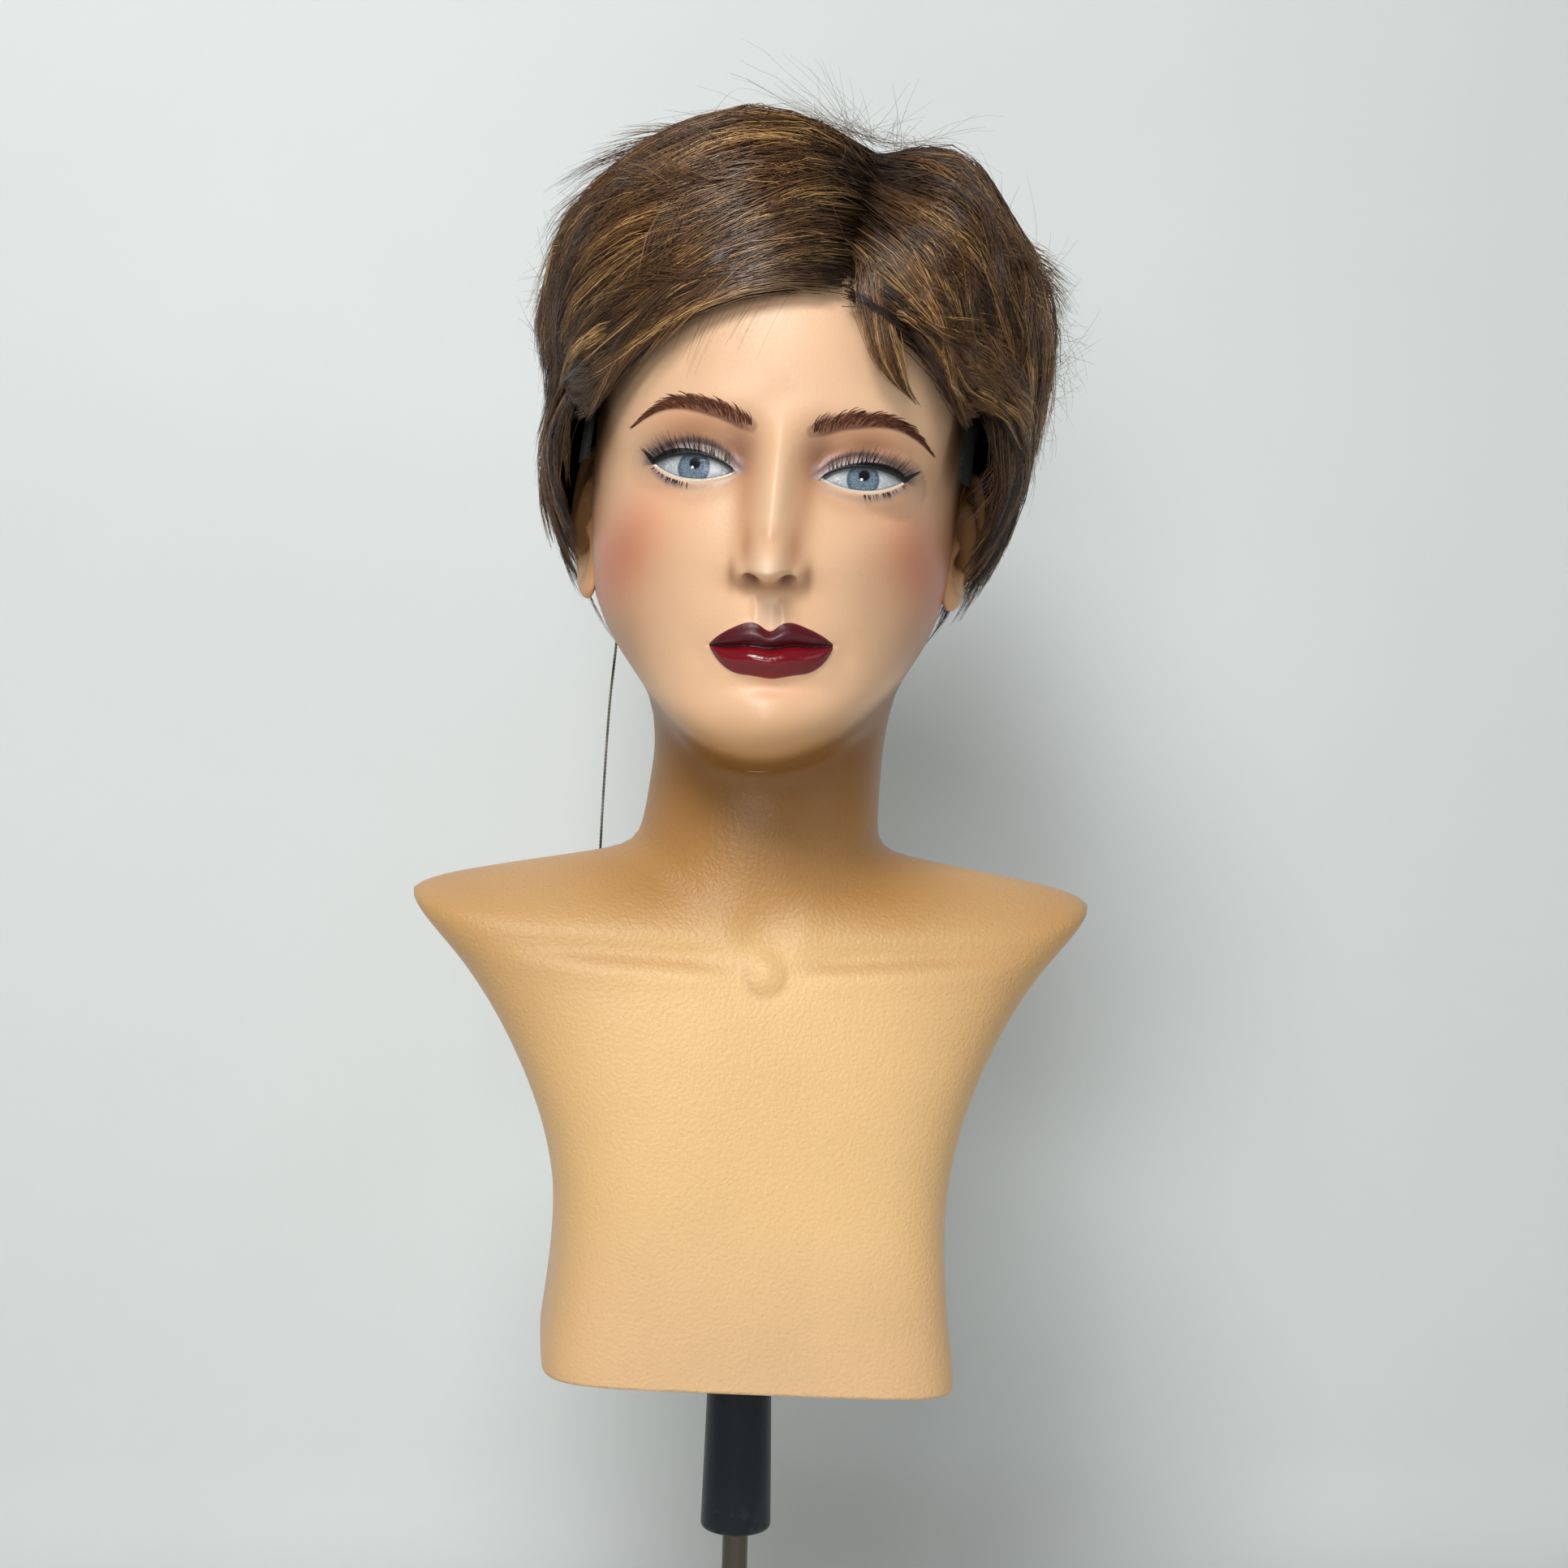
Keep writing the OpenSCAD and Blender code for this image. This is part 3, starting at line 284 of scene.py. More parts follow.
def stretched(tree, scale):
    """Object coordinates scaled each way."""
    return add(tree, "ShaderNodeMapping", {"Vector": object_place(tree), "Scale": scale}).outputs["Vector"]


def noise(tree, place, scale, detail=2.0):
    """Value of a noise texture."""
    return add(tree, "ShaderNodeTexNoise", {"Vector": place, "Scale": scale, "Detail": detail}).outputs["Fac"]


def bumped(tree, height, strength, distance):
    """Normal of a bump."""
    return add(tree, "ShaderNodeBump", {"Height": height, "Strength": strength,
                                        "Distance": distance}).outputs["Normal"]


def attribute(tree, name, kind):
    """Colour or vector that the piece's mesh carries."""
    return add(tree, "ShaderNodeAttribute", attribute_name=name).outputs[kind]


def parts(tree, vector):
    """The three numbers of a vector."""
    return add(tree, "ShaderNodeSeparateXYZ", {0: vector}).outputs


def math(tree, operation, a, b=0.5, clamp=False):
    """Math node of two values or sockets."""
    return add(tree, "ShaderNodeMath", {0: a, 1: b}, operation=operation, use_clamp=clamp).outputs[0]


def times(tree, a, b):
    """Product of two values."""
    return math(tree, "MULTIPLY", a, b)


def scaled(tree, value, factor, offset):
    """A value times a factor, plus an offset."""
    return math(tree, "ADD", times(tree, value, factor), offset)


def step_mask(tree, value, low, high):
    """0 below low and 1 above high, smooth between."""
    return add(tree, "ShaderNodeMapRange", {"Value": value, "From Min": low, "From Max": high},
               interpolation_type="SMOOTHSTEP").outputs["Result"]


def distance(tree, x, z, cx, cz):
    """Distance of (x, z) from a point."""
    dx, dz = math(tree, "SUBTRACT", x, cx), math(tree, "SUBTRACT", z, cz)
    return math(tree, "SQRT", math(tree, "ADD", times(tree, dx, dx), times(tree, dz, dz)))


def layered(tree, colour, *layers):
    """Colours laid over the first one by one, each by its mask: layers are pairs of mask and colour."""
    for mask, above in layers:
        colour = add(tree, "ShaderNodeMix", {0: mask, 6: colour, 7: above}, data_type="RGBA").outputs[2]
    return colour


def tinted(tree, colour, value):
    """A colour times a value about 1."""
    return add(tree, "ShaderNodeVectorMath", {0: colour, "Scale": value}, operation="SCALE").outputs[0]


def new_group(name, scale, depth, **outputs):
    """Node group with the inputs Vector, Scale and Depth, the last two with usual values, and outputs of the
    types given by name. Returns the group, its inlet's sockets and its outlet's."""
    group = bpy.data.node_groups.new(name, "ShaderNodeTree")
    group.interface.new_socket("Vector", in_out="INPUT", socket_type="NodeSocketVector")
    for title, value in (("Scale", scale), ("Depth", depth)):
        socket = group.interface.new_socket(title, in_out="INPUT", socket_type="NodeSocketFloat")
        socket.default_value = value
    for title, kind in outputs.items():
        group.interface.new_socket(title, in_out="OUTPUT", socket_type=kind)
    return group, add(group, "NodeGroupInput").outputs, add(group, "NodeGroupOutput").inputs


def placed(tree, group, scale, depth):
    """Outputs of a node group on Object coordinates, with its values."""
    return add(tree, "ShaderNodeGroup", node_tree=group,
               inputs={"Vector": object_place(tree), "Scale": scale, "Depth": depth}).outputs


def make_grain_group():
    """Node group: fine orange-peel and brushed unevenness; Tone is a value about 1 that varies slowly."""
    group, inlet, outlet = new_group("painted_grain", 1.0, 0.05, Normal="NodeSocketVector",
                                     Tone="NodeSocketFloat")
    peel = noise(group, inlet["Vector"], times(group, inlet["Scale"], 700.0), 3)
    slow = noise(group, inlet["Vector"], 14, 4)
    feed(group, outlet["Normal"], bumped(group, peel, inlet["Depth"], 0.0007))
    feed(group, outlet["Tone"], scaled(group, slow, 0.26, 0.87))
    return group


def make_weave_group():
    """Node group: plain weave or net. Its Mask is 1 on the threads and 0 in the holes, from the larger of two
    crossed sine waves."""
    group, inlet, outlet = new_group("crossed_threads", 4000.0, 0.4, Mask="NodeSocketFloat",
                                     Normal="NodeSocketVector")
    x, y, z = parts(group, inlet["Vector"])
    round_it = math(group, "ADD", x, times(group, y, 0.8))
    places = [math(group, "ADD", round_it, times(group, z, slope)) for slope in (1.0, -1.0)]
    waves = [math(group, "SINE", times(group, place, inlet["Scale"])) for place in places]
    high = math(group, "MAXIMUM", *waves)
    feed(group, outlet["Mask"], step_mask(group, high, -0.1, 0.45))
    feed(group, outlet["Normal"], bumped(group, high, inlet["Depth"], 0.0002))
    return group


GRAIN, WEAVE = make_grain_group(), make_weave_group()


def tint_material(name, scale, depth, roughness, specular):
    """Satin paint or fibre in the mesh's own tint, mottled by the grain."""
    material, tree = new_material(name)
    grain = placed(tree, GRAIN, scale, depth)
    colour = tinted(tree, attribute(tree, "tint", "Color"), grain["Tone"])
    return finished(material, colour, roughness, specular, grain["Normal"])


# ------------------------------------------------------------------ string on the wig's strap
# Controls of the string's line, in millimetres in the frame, from the strap down behind the shoulder
STRING = [(-53.4, 52.37, 473.66), (-54.66, 48.55, 453.03), (-56, 61.5, 437), (-57, 62.5, 413),
          (-58, 63, 385), (-58.5, 63, 357), (-59, 62.5, 331)]
STRING_D = 1.2
STRING_PITCH = 3.0      # length of one turn of its two yarns
KNOT_SIZE, KNOT_YARN = 0.36, 0.42


def two_ply(route, radius, pitch, sides=12):
    """Points of two round yarns laid together: the section's radius swings between 0.55 and 1 of the full one
    twice round, and the section makes one turn each pitch along the route."""
    side, up = across(unit(np.gradient(route, axis=0)), (0.0, 1.0, 0.0))
    length = np.concatenate([[0], np.cumsum(np.linalg.norm(np.diff(route, axis=0), axis=1))])
    a = 2 * pi * np.arange(sides) / sides
    r = radius * (0.55 + 0.45 * np.abs(np.cos(a)))
    return route[:, None] + circle(side, up, a[None] + 2 * pi * length[:, None] / pitch) * r[None, :, None]


def string_material():
    """Grey two-ply string, darker and lighter in patches along its length."""
    material, tree = new_material("two_ply_string")
    ramp = add(tree, "ShaderNodeValToRGB", {"Fac": noise(tree, object_place(tree), 70, 4)})
    dark, pale = ramp.color_ramp.elements
    dark.position, dark.color = 0.38, (0.030, 0.030, 0.026, 1)
    pale.position, pale.color = 0.66, (0.26, 0.25, 0.20, 1)
    return finished(material, ramp.outputs["Color"], 0.7)


def make_string():
    """The string and its overhand knot, a trefoil of the same string: (sin t + 2 sin 2t, cos t - 2 cos 2t,
    -sin 3t)."""
    material = string_material()
    route = through(STRING, 37)
    down = np.array([0, 0, BASE])
    rings = two_ply(through(STRING, 520), STRING_D / 2, STRING_PITCH)
    faces = capped_tube(*rings.shape[:2], turned=True)
    string = make_piece("hanging_string", rings - down, faces, "wig", material)
    steps, sides = 72, 8
    t = 2 * pi * np.arange(steps) / steps
    loop = np.stack([np.sin(t) + 2 * np.sin(2 * t), -0.9 * np.sin(3 * t), np.cos(t) - 2 * np.cos(2 * t)], -1)
    loop = loop * KNOT_SIZE + np.array([route[-1, 0], route[-1, 1], route[-1, 2] - 1.5])
    frame_of = across(unit(np.roll(loop, -1, 0) - np.roll(loop, 1, 0)), loop - loop.mean(0))
    ring = loop[:, None] + KNOT_YARN * circle(*frame_of, 2 * pi * np.arange(sides) / sides)
    quads = grid_faces(steps + 1, sides, True)[:, [0, 3, 2, 1]] % (steps * sides)
    knot = make_piece("overhand_knot", ring - down, quads, "wig", material)
    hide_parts("tag_string")
    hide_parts("string_knot")


make_string()


# ------------------------------------------------------------------ bare form of head and bust
# Each ring: height in front, at the side, behind; half width; depth in front, behind; squareness.
BUST = [
    [-1, -1, -1, 78, 60.5, 50, 6], [3, 3, 3, 78.5, 60.5, 50, 6], [12, 12, 12, 77.5, 61, 50, 5.4],
    [34, 34, 34, 75, 61.5, 50, 4.8], [62, 62, 62, 74, 62.5, 52, 4.3], [87, 88, 88, 78.5, 62.5, 55, 3.9],
    [109, 112, 112, 87.5, 61, 58, 3.6], [128, 134, 134, 99, 58.5, 59.5, 3.3],
    [142, 153, 153, 112, 56, 59, 3.1], [150, 165, 165, 123, 54, 57, 3],
    [156, 174, 173, 130.5, 52.5, 55, 2.9], [159.2, 178.8, 177.8, 132.4, 51.2, 53.8, 2.8],
    [160.4, 180.6, 179.8, 130.6, 50.8, 53.3, 2.75], [163, 184, 184, 122.5, 50, 52, 2.6],
    [166, 187, 188, 108, 49, 51, 2.4],
    [168.5, 190.5, 192, 89, 48, 49.5, 2.2], [171.5, 194, 196, 68, 47, 47.5, 2.1],
    [176, 197, 200.5, 52.5, 46, 46, 2], [184, 202, 207, 46.5, 45, 44, 2],
    [196, 213, 217, 45.5, 44.5, 42, 2], [209, 226, 230, 45, 44, 40, 2], [221, 238, 244, 44.5, 44, 38.5, 2],
]
# The head's heights are over the chin and its depths from the ears' axis
HEAD = [
    [-5, 18, 28, 46.5, 38, 46, 2], [-6, 23, 34, 48, 52, 50, 2], [-4, 28, 40, 50, 69, 56, 2],
    [-1, 33.5, 46, 53.5, 80.5, 62, 2], [7, 40.5, 53, 58.5, 86.5, 68, 2], [19, 49, 61, 63.5, 84.5, 74, 2.05],
    [33, 60, 71, 67.5, 85, 80, 2.1], [50, 71, 82, 69, 86, 85, 2.15], [70, 84, 93, 70.5, 86.5, 89, 2.2],
    [90, 98, 104, 71, 87.5, 92, 2.3], [110, 113, 117, 71.5, 91, 94, 2.3],
    [130, 130, 132, 72, 93.5, 95, 2.25], [150, 148, 149, 72.5, 92.5, 94, 2.2],
    [169, 166, 167, 72, 87.5, 91, 2.15], [186, 183, 184, 69, 78, 84, 2.1],
    [201, 198, 199, 62.5, 65, 74, 2.05],
    [213, 211, 212, 52, 49, 61, 2], [221.5, 220.5, 221, 38, 32, 45, 2], [226.5, 226, 226.5, 20, 14, 27, 2],
    [228, 228, 228, 0.5, -5.5, 6.5, 2],
]
T_HEAD = len(BUST)
T_TOP = len(BUST) + len(HEAD) - 1


def all_rings():
    """Rings of bust and head together, heights over the base, depths from the holder's axis."""
    head = np.array(HEAD, float)
    head[:, :3] += CHIN
    head[:, 4] -= HEAD_Y
    head[:, 5] += HEAD_Y
    return np.vstack([np.array(BUST, float), head])


RINGS = all_rings()


def ring_points(rows, u):
    """Points of rings at azimuths u: a superellipse whose height follows cos^2 of the azimuth."""
    zf, zs, zb, w, f, b, n = np.moveaxis(rows, -1, 0)
    s, c = np.sin(u), np.cos(u)
    k = (np.abs(s) ** n + np.abs(c) ** n) ** (-1 / n)
    x = w * k * s
    y = np.where(c > 0, -f * k * c, -b * k * c)
    z = zs + np.where(c > 0, zf - zs, zb - zs) * c * c
    return np.stack([x, y, z], -1)


# ------------------------------------------------------------------ face
def lids(q):
    """Upper and lower margin of the eye opening over its centre, q from -1 inner to +1 outer corner."""
    qc = np.clip(q, -1, 1)
    r = 1 - qc * qc
    return 4.8 * r ** 0.72 + 0.9 * qc - 0.4, -4.6 * r ** 0.85 * (1 + 0.1 * qc) + 0.9 * qc - 0.4


def by_eye(x, z):
    """Place by the nearer eye: outwards and upwards of its centre, the first in half widths of the opening
    too, and the opening's upper and lower margin there."""
    dx, dz = np.abs(x) - EYE_X, z - EYE_Z + EYE_TILT * x
    q = dx / EYE_HALF
    return dx, dz, q, *lids(q)


def lip_lines(x):
    """Heights of the upper outline with its two peaks, the mouth line, and the full lower outline."""
    q = np.clip(np.abs(x) / LIP_HALF, 0, 1)
    line = LIP_Z + LIP_TILT * x + 0.5 * bell(np.abs(x) - 8, 4) - 0.4 * bell(x, 3.5) + 1.1 * q ** 3
    up = 8.4 * (1 - q ** 2.5) ** 0.88 - 2.6 * bell(x, 3.5) - 0.3 * q ** 3 * (1 - q)
    low = -10.5 * (1 - q ** 3.5) ** 0.8
    return line + up, line, line + low


def crease_rise(q):
    """Height of the lid's crease over the eye opening's upper margin."""
    return 4.0 * np.sqrt(np.clip(1 - (q / 1.25) ** 2, 0, 1)) + 0.4


def soft_forms(x, z):
    """Brow, sockets, cheek bones, hollow cheeks, muzzle, mouth corners, chin and the fold over it."""
    a = np.abs(x)
    return (1.8 * hump(a, z, 26, 119, 15, 7.5) - 0.8 * hump(a, z, 0, 121, 8, 9)
            - 6.8 * hump(a, z, 29, 101, 19, 12.5) - 4.6 * hump(a, z, 15, 103, 7, 10)
            + 3.0 * hump(a, z, 50, 77, 15, 13) + 2.6 * hump(a, z, 26, 70, 14, 13)
            - 2.6 * hump(a, z, 44, 45, 12, 18) + 3.4 * hump(a, z, 0, 42, 26, 19)
            - 1.4 * hump(a, z, 25, 34, 5.5, 7) + 3.0 * hump(a, z, 0, 12, 15, 10)
            - 2.2 * hump(a, z, 0, 23, 14, 3.6))


def nose(x, z):
    """A ridge that swells to a ball tip, with a wing each side, over the bare face."""
    a = np.abs(x)
    along = np.clip((z - 66) / 58, 0, 1)
    ridge = 18.6 * (1 - along ** 0.70) * smooth(55.0, 65.5, z)
    narrow = 5.4 + 2.2 * smooth(88, 69, z)
    broad = 8.6 + 4.6 * smooth(96, 64, z)
    h = ridge * (0.44 * bell(a, narrow) + 0.56 * bell(a, broad))
    h = h + 3.4 * flat_hump(a, z, 0, 66.5, 7.0, 6.4, 1.2) - 0.7 * hump(a, z, 0, 77, 7, 5)
    h = blend_max(h, 9.6 * flat_hump(a, z, 8.6, 63.4, 4.2, 5.4, 1.25), 3.6)
    return h - 0.8 * hump(a, z, 6.6, 71.5, 2.6, 4.0) * smooth(4, 6, a)


def nostril(x, z):
    """Depth of the two nostrils, flattened bells under the tip."""
    return 3.4 * flat_hump(np.abs(x), z, 6.6, 60.6, 2.8, 1.9, 1.3)


def lip_relief(x, z):
    """Both lips swell from the mouth line and die out at their outlines; with the upper rim and philtrum."""
    up, line, low = lip_lines(x)
    e = np.abs(x) / LIP_HALF
    q = np.clip(e, 0, 1)
    s = (z - line) / np.maximum(up - line, 0.4)
    r = (line - z) / np.maximum(line - low, 0.4)
    upper = 3.3 * smooth(-0.12, 0.45, s) * (1 - smooth(0.35, 1.2, s))
    lower = 4.4 * smooth(-0.08, 0.50, r) ** 0.7 * (1 - smooth(0.5, 1.2, r))
    h = np.where(z >= line, upper, lower) * np.clip(1 - q ** 2, 0, 1) ** 0.6
    h += 0.45 * bell(s - 1.02, 0.16) * (z > line) * (1 - q ** 4)
    h -= 1.1 * bell(z - line, 0.7) * (1 - smooth(0.97, 1.08, e))
    philtrum = smooth(55.5, 51, z) * smooth(-1.0, 1.5, z - up)
    return h + philtrum * (0.8 * bell(np.abs(x) - 4.7, 1.5) - 0.8 * bell(x, 2.6))


def eyeball(x, z):
    """Depth of the painted eyeball's front from the ears' axis: an ellipsoid turned a little outwards."""
    dx, dz = by_eye(x, z)[:2]
    r2 = (dx / 23) ** 2 + (dz / 15.5) ** 2
    return 79.5 - 12 * (1 - np.sqrt(np.clip(1 - r2, 0, 1))) - 0.20 * dx


def face_depth(x, depth, z):
    """Depth of the finished face: soft forms, lips, then the lids carried over the eyeball with their crease,
    and the opening, which drops to the eyeball."""
    depth = depth + soft_forms(x, z) + lip_relief(x, z)
    dx, dz, q, up, low = by_eye(x, z)
    ball = eyeball(x, z)
    near = smooth(29, 13, np.hypot(dx * 0.98, dz * 1.45))
    skin = depth + (blend_max(depth, ball + 1.3, 2.4) - depth) * near
    crease = dz - up - crease_rise(q)
    skin -= near * 0.9 * bell(crease, 0.75) * smooth(1.25, 0.9, np.abs(q))
    skin += near * 0.5 * bell(crease - 1.8, 1.6) * smooth(1.3, 0.8, np.abs(q))
    opened = smooth(-0.15, 0.55, np.minimum(up - dz, dz - low)) * (np.abs(q) < 1)
    return skin + (ball - skin) * opened


def chest(x, z):
    """Collar bones, the hollow between them with its small knob, and the tendons of the throat."""
    a = np.abs(x)
    line = 151.5 + 0.055 * a
    h = 1.2 * bell(z - line + 2.5, 5) - 2.2 * bell(z - line - 4.5, 4)
    h = h * smooth(6, 30, a) * smooth(112, 60, a)
    h -= 2.0 * hump(x, z, 0, 166, 10, 9)
    h += 2.7 * hump(x, z, 0, 154, 5, 6)
    h -= 1.0 * hump(x, z, 0, 145, 7, 2.6)
    f = np.clip((z - 155) / 70, 0, 1)
    h += 0.7 * bell(a - 9 - 30 * f, 7) * smooth(150, 168, z) * smooth(205, 172, z)
    return h - 0.5 * bell(x, 7) * smooth(160, 175, z) * smooth(210, 185, z)


def slanted(p):
    """Points with the lower ones moved along the base's slant."""
    q = p.copy()
    q[..., 2] -= q[..., 0] * np.tan(SLANT) * (1 - smooth(0, 120, q[..., 2]))
    return q


def posed(p):
    """Turn of the head on the neck by TURN between heights 168 and 232, then a slow sideways roll from
    -1.2 degrees under the chin to 3.6 at the crown, about a point in the chin."""
    w = smooth(168, 232, p[..., 2])
    a = TURN * w
    x, y, z = p[..., 0], p[..., 1] + 2, p[..., 2]
    x, y = x * np.cos(a) - y * np.sin(a), x * np.sin(a) + y * np.cos(a)
    b = np.radians(-1.2 + 4.8 * smooth(CHIN - 20, CHIN + 170, z)) * smooth(200, 235, z)
    dz = z - (CHIN + 36)
    x, z = x * np.cos(b) + dz * np.sin(b), -x * np.sin(b) + dz * np.cos(b) + CHIN + 36
    return np.stack([x + 2.5 * w, y - 2, z], -1)


def facing(x, y):
    """1 where a place lies straight in front of the holder's axis, -1 behind it."""
    return -y / (np.hypot(x, y) + 1e-9)


def finished_skin(p):
    """Bare points to unposed finished ones: the base's slant, then face, nose, nostrils and chest push the
    surface along Y where it looks forwards."""
    x, y, z = np.moveaxis(slanted(p), -1, 0)
    zh = z - CHIN
    forwards = smooth(0.10, 0.45, facing(x, y))
    front = forwards * smooth(-14, -4, zh)
    depth = -(y - HEAD_Y)
    xf = x - FACE_X
    n = nose(xf, zh) * front
    pit = nostril(xf, zh) * front
    y2 = y - (face_depth(xf, depth, zh) - depth) * front - n + 0.5 * pit
    y2 = y2 - chest(x, z) * forwards * (1 - smooth(200, 225, z))
    aside = 2.2 * bell(zh - 22, 26) * smooth(-20, 5, zh)
    return np.stack([x + aside, y2, z - 0.24 * n + pit], -1)


def skin_depth(x, zh):
    """Unposed y of the finished face at x from the face's middle and height over the chin, for pieces that
    lie on it: found from the bare ring's depth at that height."""
    t = np.interp(zh + CHIN, RINGS[T_HEAD + 3:, 0], np.arange(T_HEAD + 3, T_TOP + 1))
    row = spline(RINGS, np.ravel(t)).reshape(np.shape(x) + (7,))
    w, f, n = row[..., 3], row[..., 4], row[..., 6]
    y = -f * np.clip(1 - np.abs((x + FACE_X) / w) ** n, 0, 1) ** (1 / n)
    return -(face_depth(x, -(y - HEAD_Y), zh) + nose(x, zh)) + HEAD_Y


# ------------------------------------------------------------------ paint
CHEST_TONE = linear(243, 200, 140)
FLANK_SHADE = linear(208, 160, 102)
NECK_TONE = linear(182, 132, 72)
UNDER_CHIN_SHADE = linear(132, 88, 42)
FACE_TONE = linear(233, 188, 148)
FOREHEAD_TONE = linear(233, 190, 152)
BLUSH_TONE = linear(200, 100, 66)
JAW_SHADE = linear(150, 99, 60)
TEMPLE_SHADE = linear(112, 76, 52)
SOCKET_SHADE = linear(140, 90, 68)
BROW_BONE_TONE = linear(206, 140, 100)
LID_TONE = linear(176, 166, 166)
LASH_SHADE = linear(80, 68, 70)


def mix(a, b, w):
    """a where w is 0, b where w is 1."""
    w = np.clip(w, 0, 1)[..., None]
    return a * (1 - w) + b * w


def skin_paint(x, z, zh, forwards, ring):
    """Airbrushed tones: warm bust, darker neck, paler face, blush from the cheek to the jaw, grey lids, with
    painted shade on the sides, over the collar bones, under the chin, at the temples, in the sockets, creases
    and nostrils and under the nose, and painted highlights on the nose and the philtrum. Every tone is a bell
    or a step of the unposed place; each lies over those before it."""
    a = np.abs(x)
    ac = np.abs(x + FACE_X)
    # masks of painted shade along the hollow over the collar bones and in a ring round the knob
    hollow = bell(z - 153.5 - 0.055 * ac, 3.2) * smooth(6, 20, ac) * smooth(112, 50, ac)
    knob = bell(np.hypot(ac, (z - 153) * 0.85) - 7, 1.7) * smooth(160, 152, z)
    face = smooth(T_HEAD + 1.9, T_HEAD + 4.0, ring)
    on = face * smooth(-0.1, 0.3, forwards)
    nose_side_shade = hump(a, zh, 10.5, 90, 4.5, 17) + 0.9 * hump(a, zh, 8.2, 72, 2.6, 7)
    dx, dz, q, up, low = by_eye(x, zh)
    aq = np.abs(q)
    above = dz - up
    crease = above - crease_rise(q)
    lid = smooth(6.8, 4.2, above) * smooth(-0.5, 0.5, above) * smooth(1.35, 1.0, aq)
    philtrum_highlight = smooth(1.15, 0.95, np.hypot(a / 4.8, np.maximum(zh - 48.5, 0) / 4.8)) * smooth(41, 43, zh)
    tone = np.broadcast_to(CHEST_TONE, x.shape + (3,))
    for colour, weight in (
            (linear(238, 193, 147), 0.75 * smooth(75, 5, z)),
            # painted shade: darker, warmer sides where the bust turns away from the front and out to the
            # shoulders
            (FLANK_SHADE, 0.75 * smooth(0.95, 0.25, forwards) + 0.25 * smooth(60, 128, a)),
            # painted shade in the hollow over the collar bones and round the knob
            (linear(178, 124, 70), 0.30 * smooth(0.1, 0.5, forwards) * np.maximum(hollow, knob)),
            (NECK_TONE, 0.95 * smooth(150, 184, z) * smooth(100, 38, a)),
            # painted shade under the chin and jaw
            (UNDER_CHIN_SHADE, 0.85 * smooth(T_HEAD - 5.0, T_HEAD - 0.5, ring) * smooth(-0.6, 0.3, forwards)),
            (FACE_TONE, face),
            (FOREHEAD_TONE, face * smooth(105, 130, zh)),
            # painted shade: the face darkens where it turns away from the front, and its chin's lower part
            # takes the neck's tone
            (JAW_SHADE, 0.80 * face * smooth(0.82, 0.25, forwards)),
            (NECK_TONE, 0.80 * on * smooth(20, -2, zh)),
            (BLUSH_TONE, 0.74 * on * hump(a, zh + 0.45 * (a - 57), 58, 68, 19, 20)),
            # painted shade over the jaw
            (JAW_SHADE, 0.60 * on * hump(a, zh, 57, 36, 13, 20)),
            # painted shade at the temples, under the hair's edge
            (TEMPLE_SHADE, 0.80 * on * hump(a, zh, 72, 122, 13, 26)),
            # nose: painted shade down its sides, above the tip and under it, painted highlights on the bridge
            # and the tip
            (linear(176, 118, 80), 0.60 * on * nose_side_shade),
            (linear(252, 222, 192), 0.20 * on * hump(a, zh, 0, 92, 3.4, 18)),
            (linear(250, 222, 196), 0.55 * on * hump(a, zh, 0, 67.5, 3.4, 3.6)),
            (linear(190, 136, 98), 0.35 * on * hump(a, zh, 0, 77, 5, 3.5)),
            (linear(168, 112, 76), 0.70 * on * hump(a, zh, 5, 58.5, 9, 3.4)),
            # sockets and lids: painted shade in the socket by the nose, in and above the crease and under the
            # lower lid, painted shadow of the lashes on the lid and at the outer corner
            (SOCKET_SHADE, 0.78 * on * hump(dx, dz, -15.5, 6, 6, 9)),
            (BROW_BONE_TONE, 0.75 * on * hump(dx, dz, 2, 14, 17, 5.5)),
            (LID_TONE, 0.9 * on * lid),
            (LASH_SHADE, 0.8 * on * lid * smooth(0.15, 0.95, q)),
            (LASH_SHADE, 0.75 * on * bell(crease, 1.2) * smooth(1.35, 0.9, aq)),
            (SOCKET_SHADE, 0.55 * on * bell(crease - 1.8, 3.2) * smooth(1.5, 0.9, aq)),
            (LASH_SHADE, 0.62 * on * hump(dx, dz, 15, 5, 8, 6.5)),
            (linear(118, 116, 124), (0.35 + 0.35 * smooth(-0.4, 0.8, q)) * on * bell(dz - low + 1.9, 1.6)
             * smooth(1.25, 0.8, aq)),
            (linear(190, 140, 112), 0.35 * on * bell(dz - low + 5.5, 3.5) * smooth(1.4, 0.6, aq)),
            # nostrils, wings, philtrum and the hollow over the chin: painted shade in the nostrils, round the
            # wings and in the hollow, a painted highlight on the philtrum
            (linear(120, 60, 45), 0.85 * on * hump(a, zh, 5.9, 59.6, 2.6, 1.7)),
            (linear(160, 104, 70), 0.6 * on * hump(a, zh, 13.4, 62, 1.7, 5.5)),
            (linear(244, 208, 178), 0.55 * on * philtrum_highlight),
            (linear(236, 170, 140), 0.30 * on * hump(a, zh, 0, 22, 14, 5))):
        tone = mix(tone, colour, weight)
    return tone


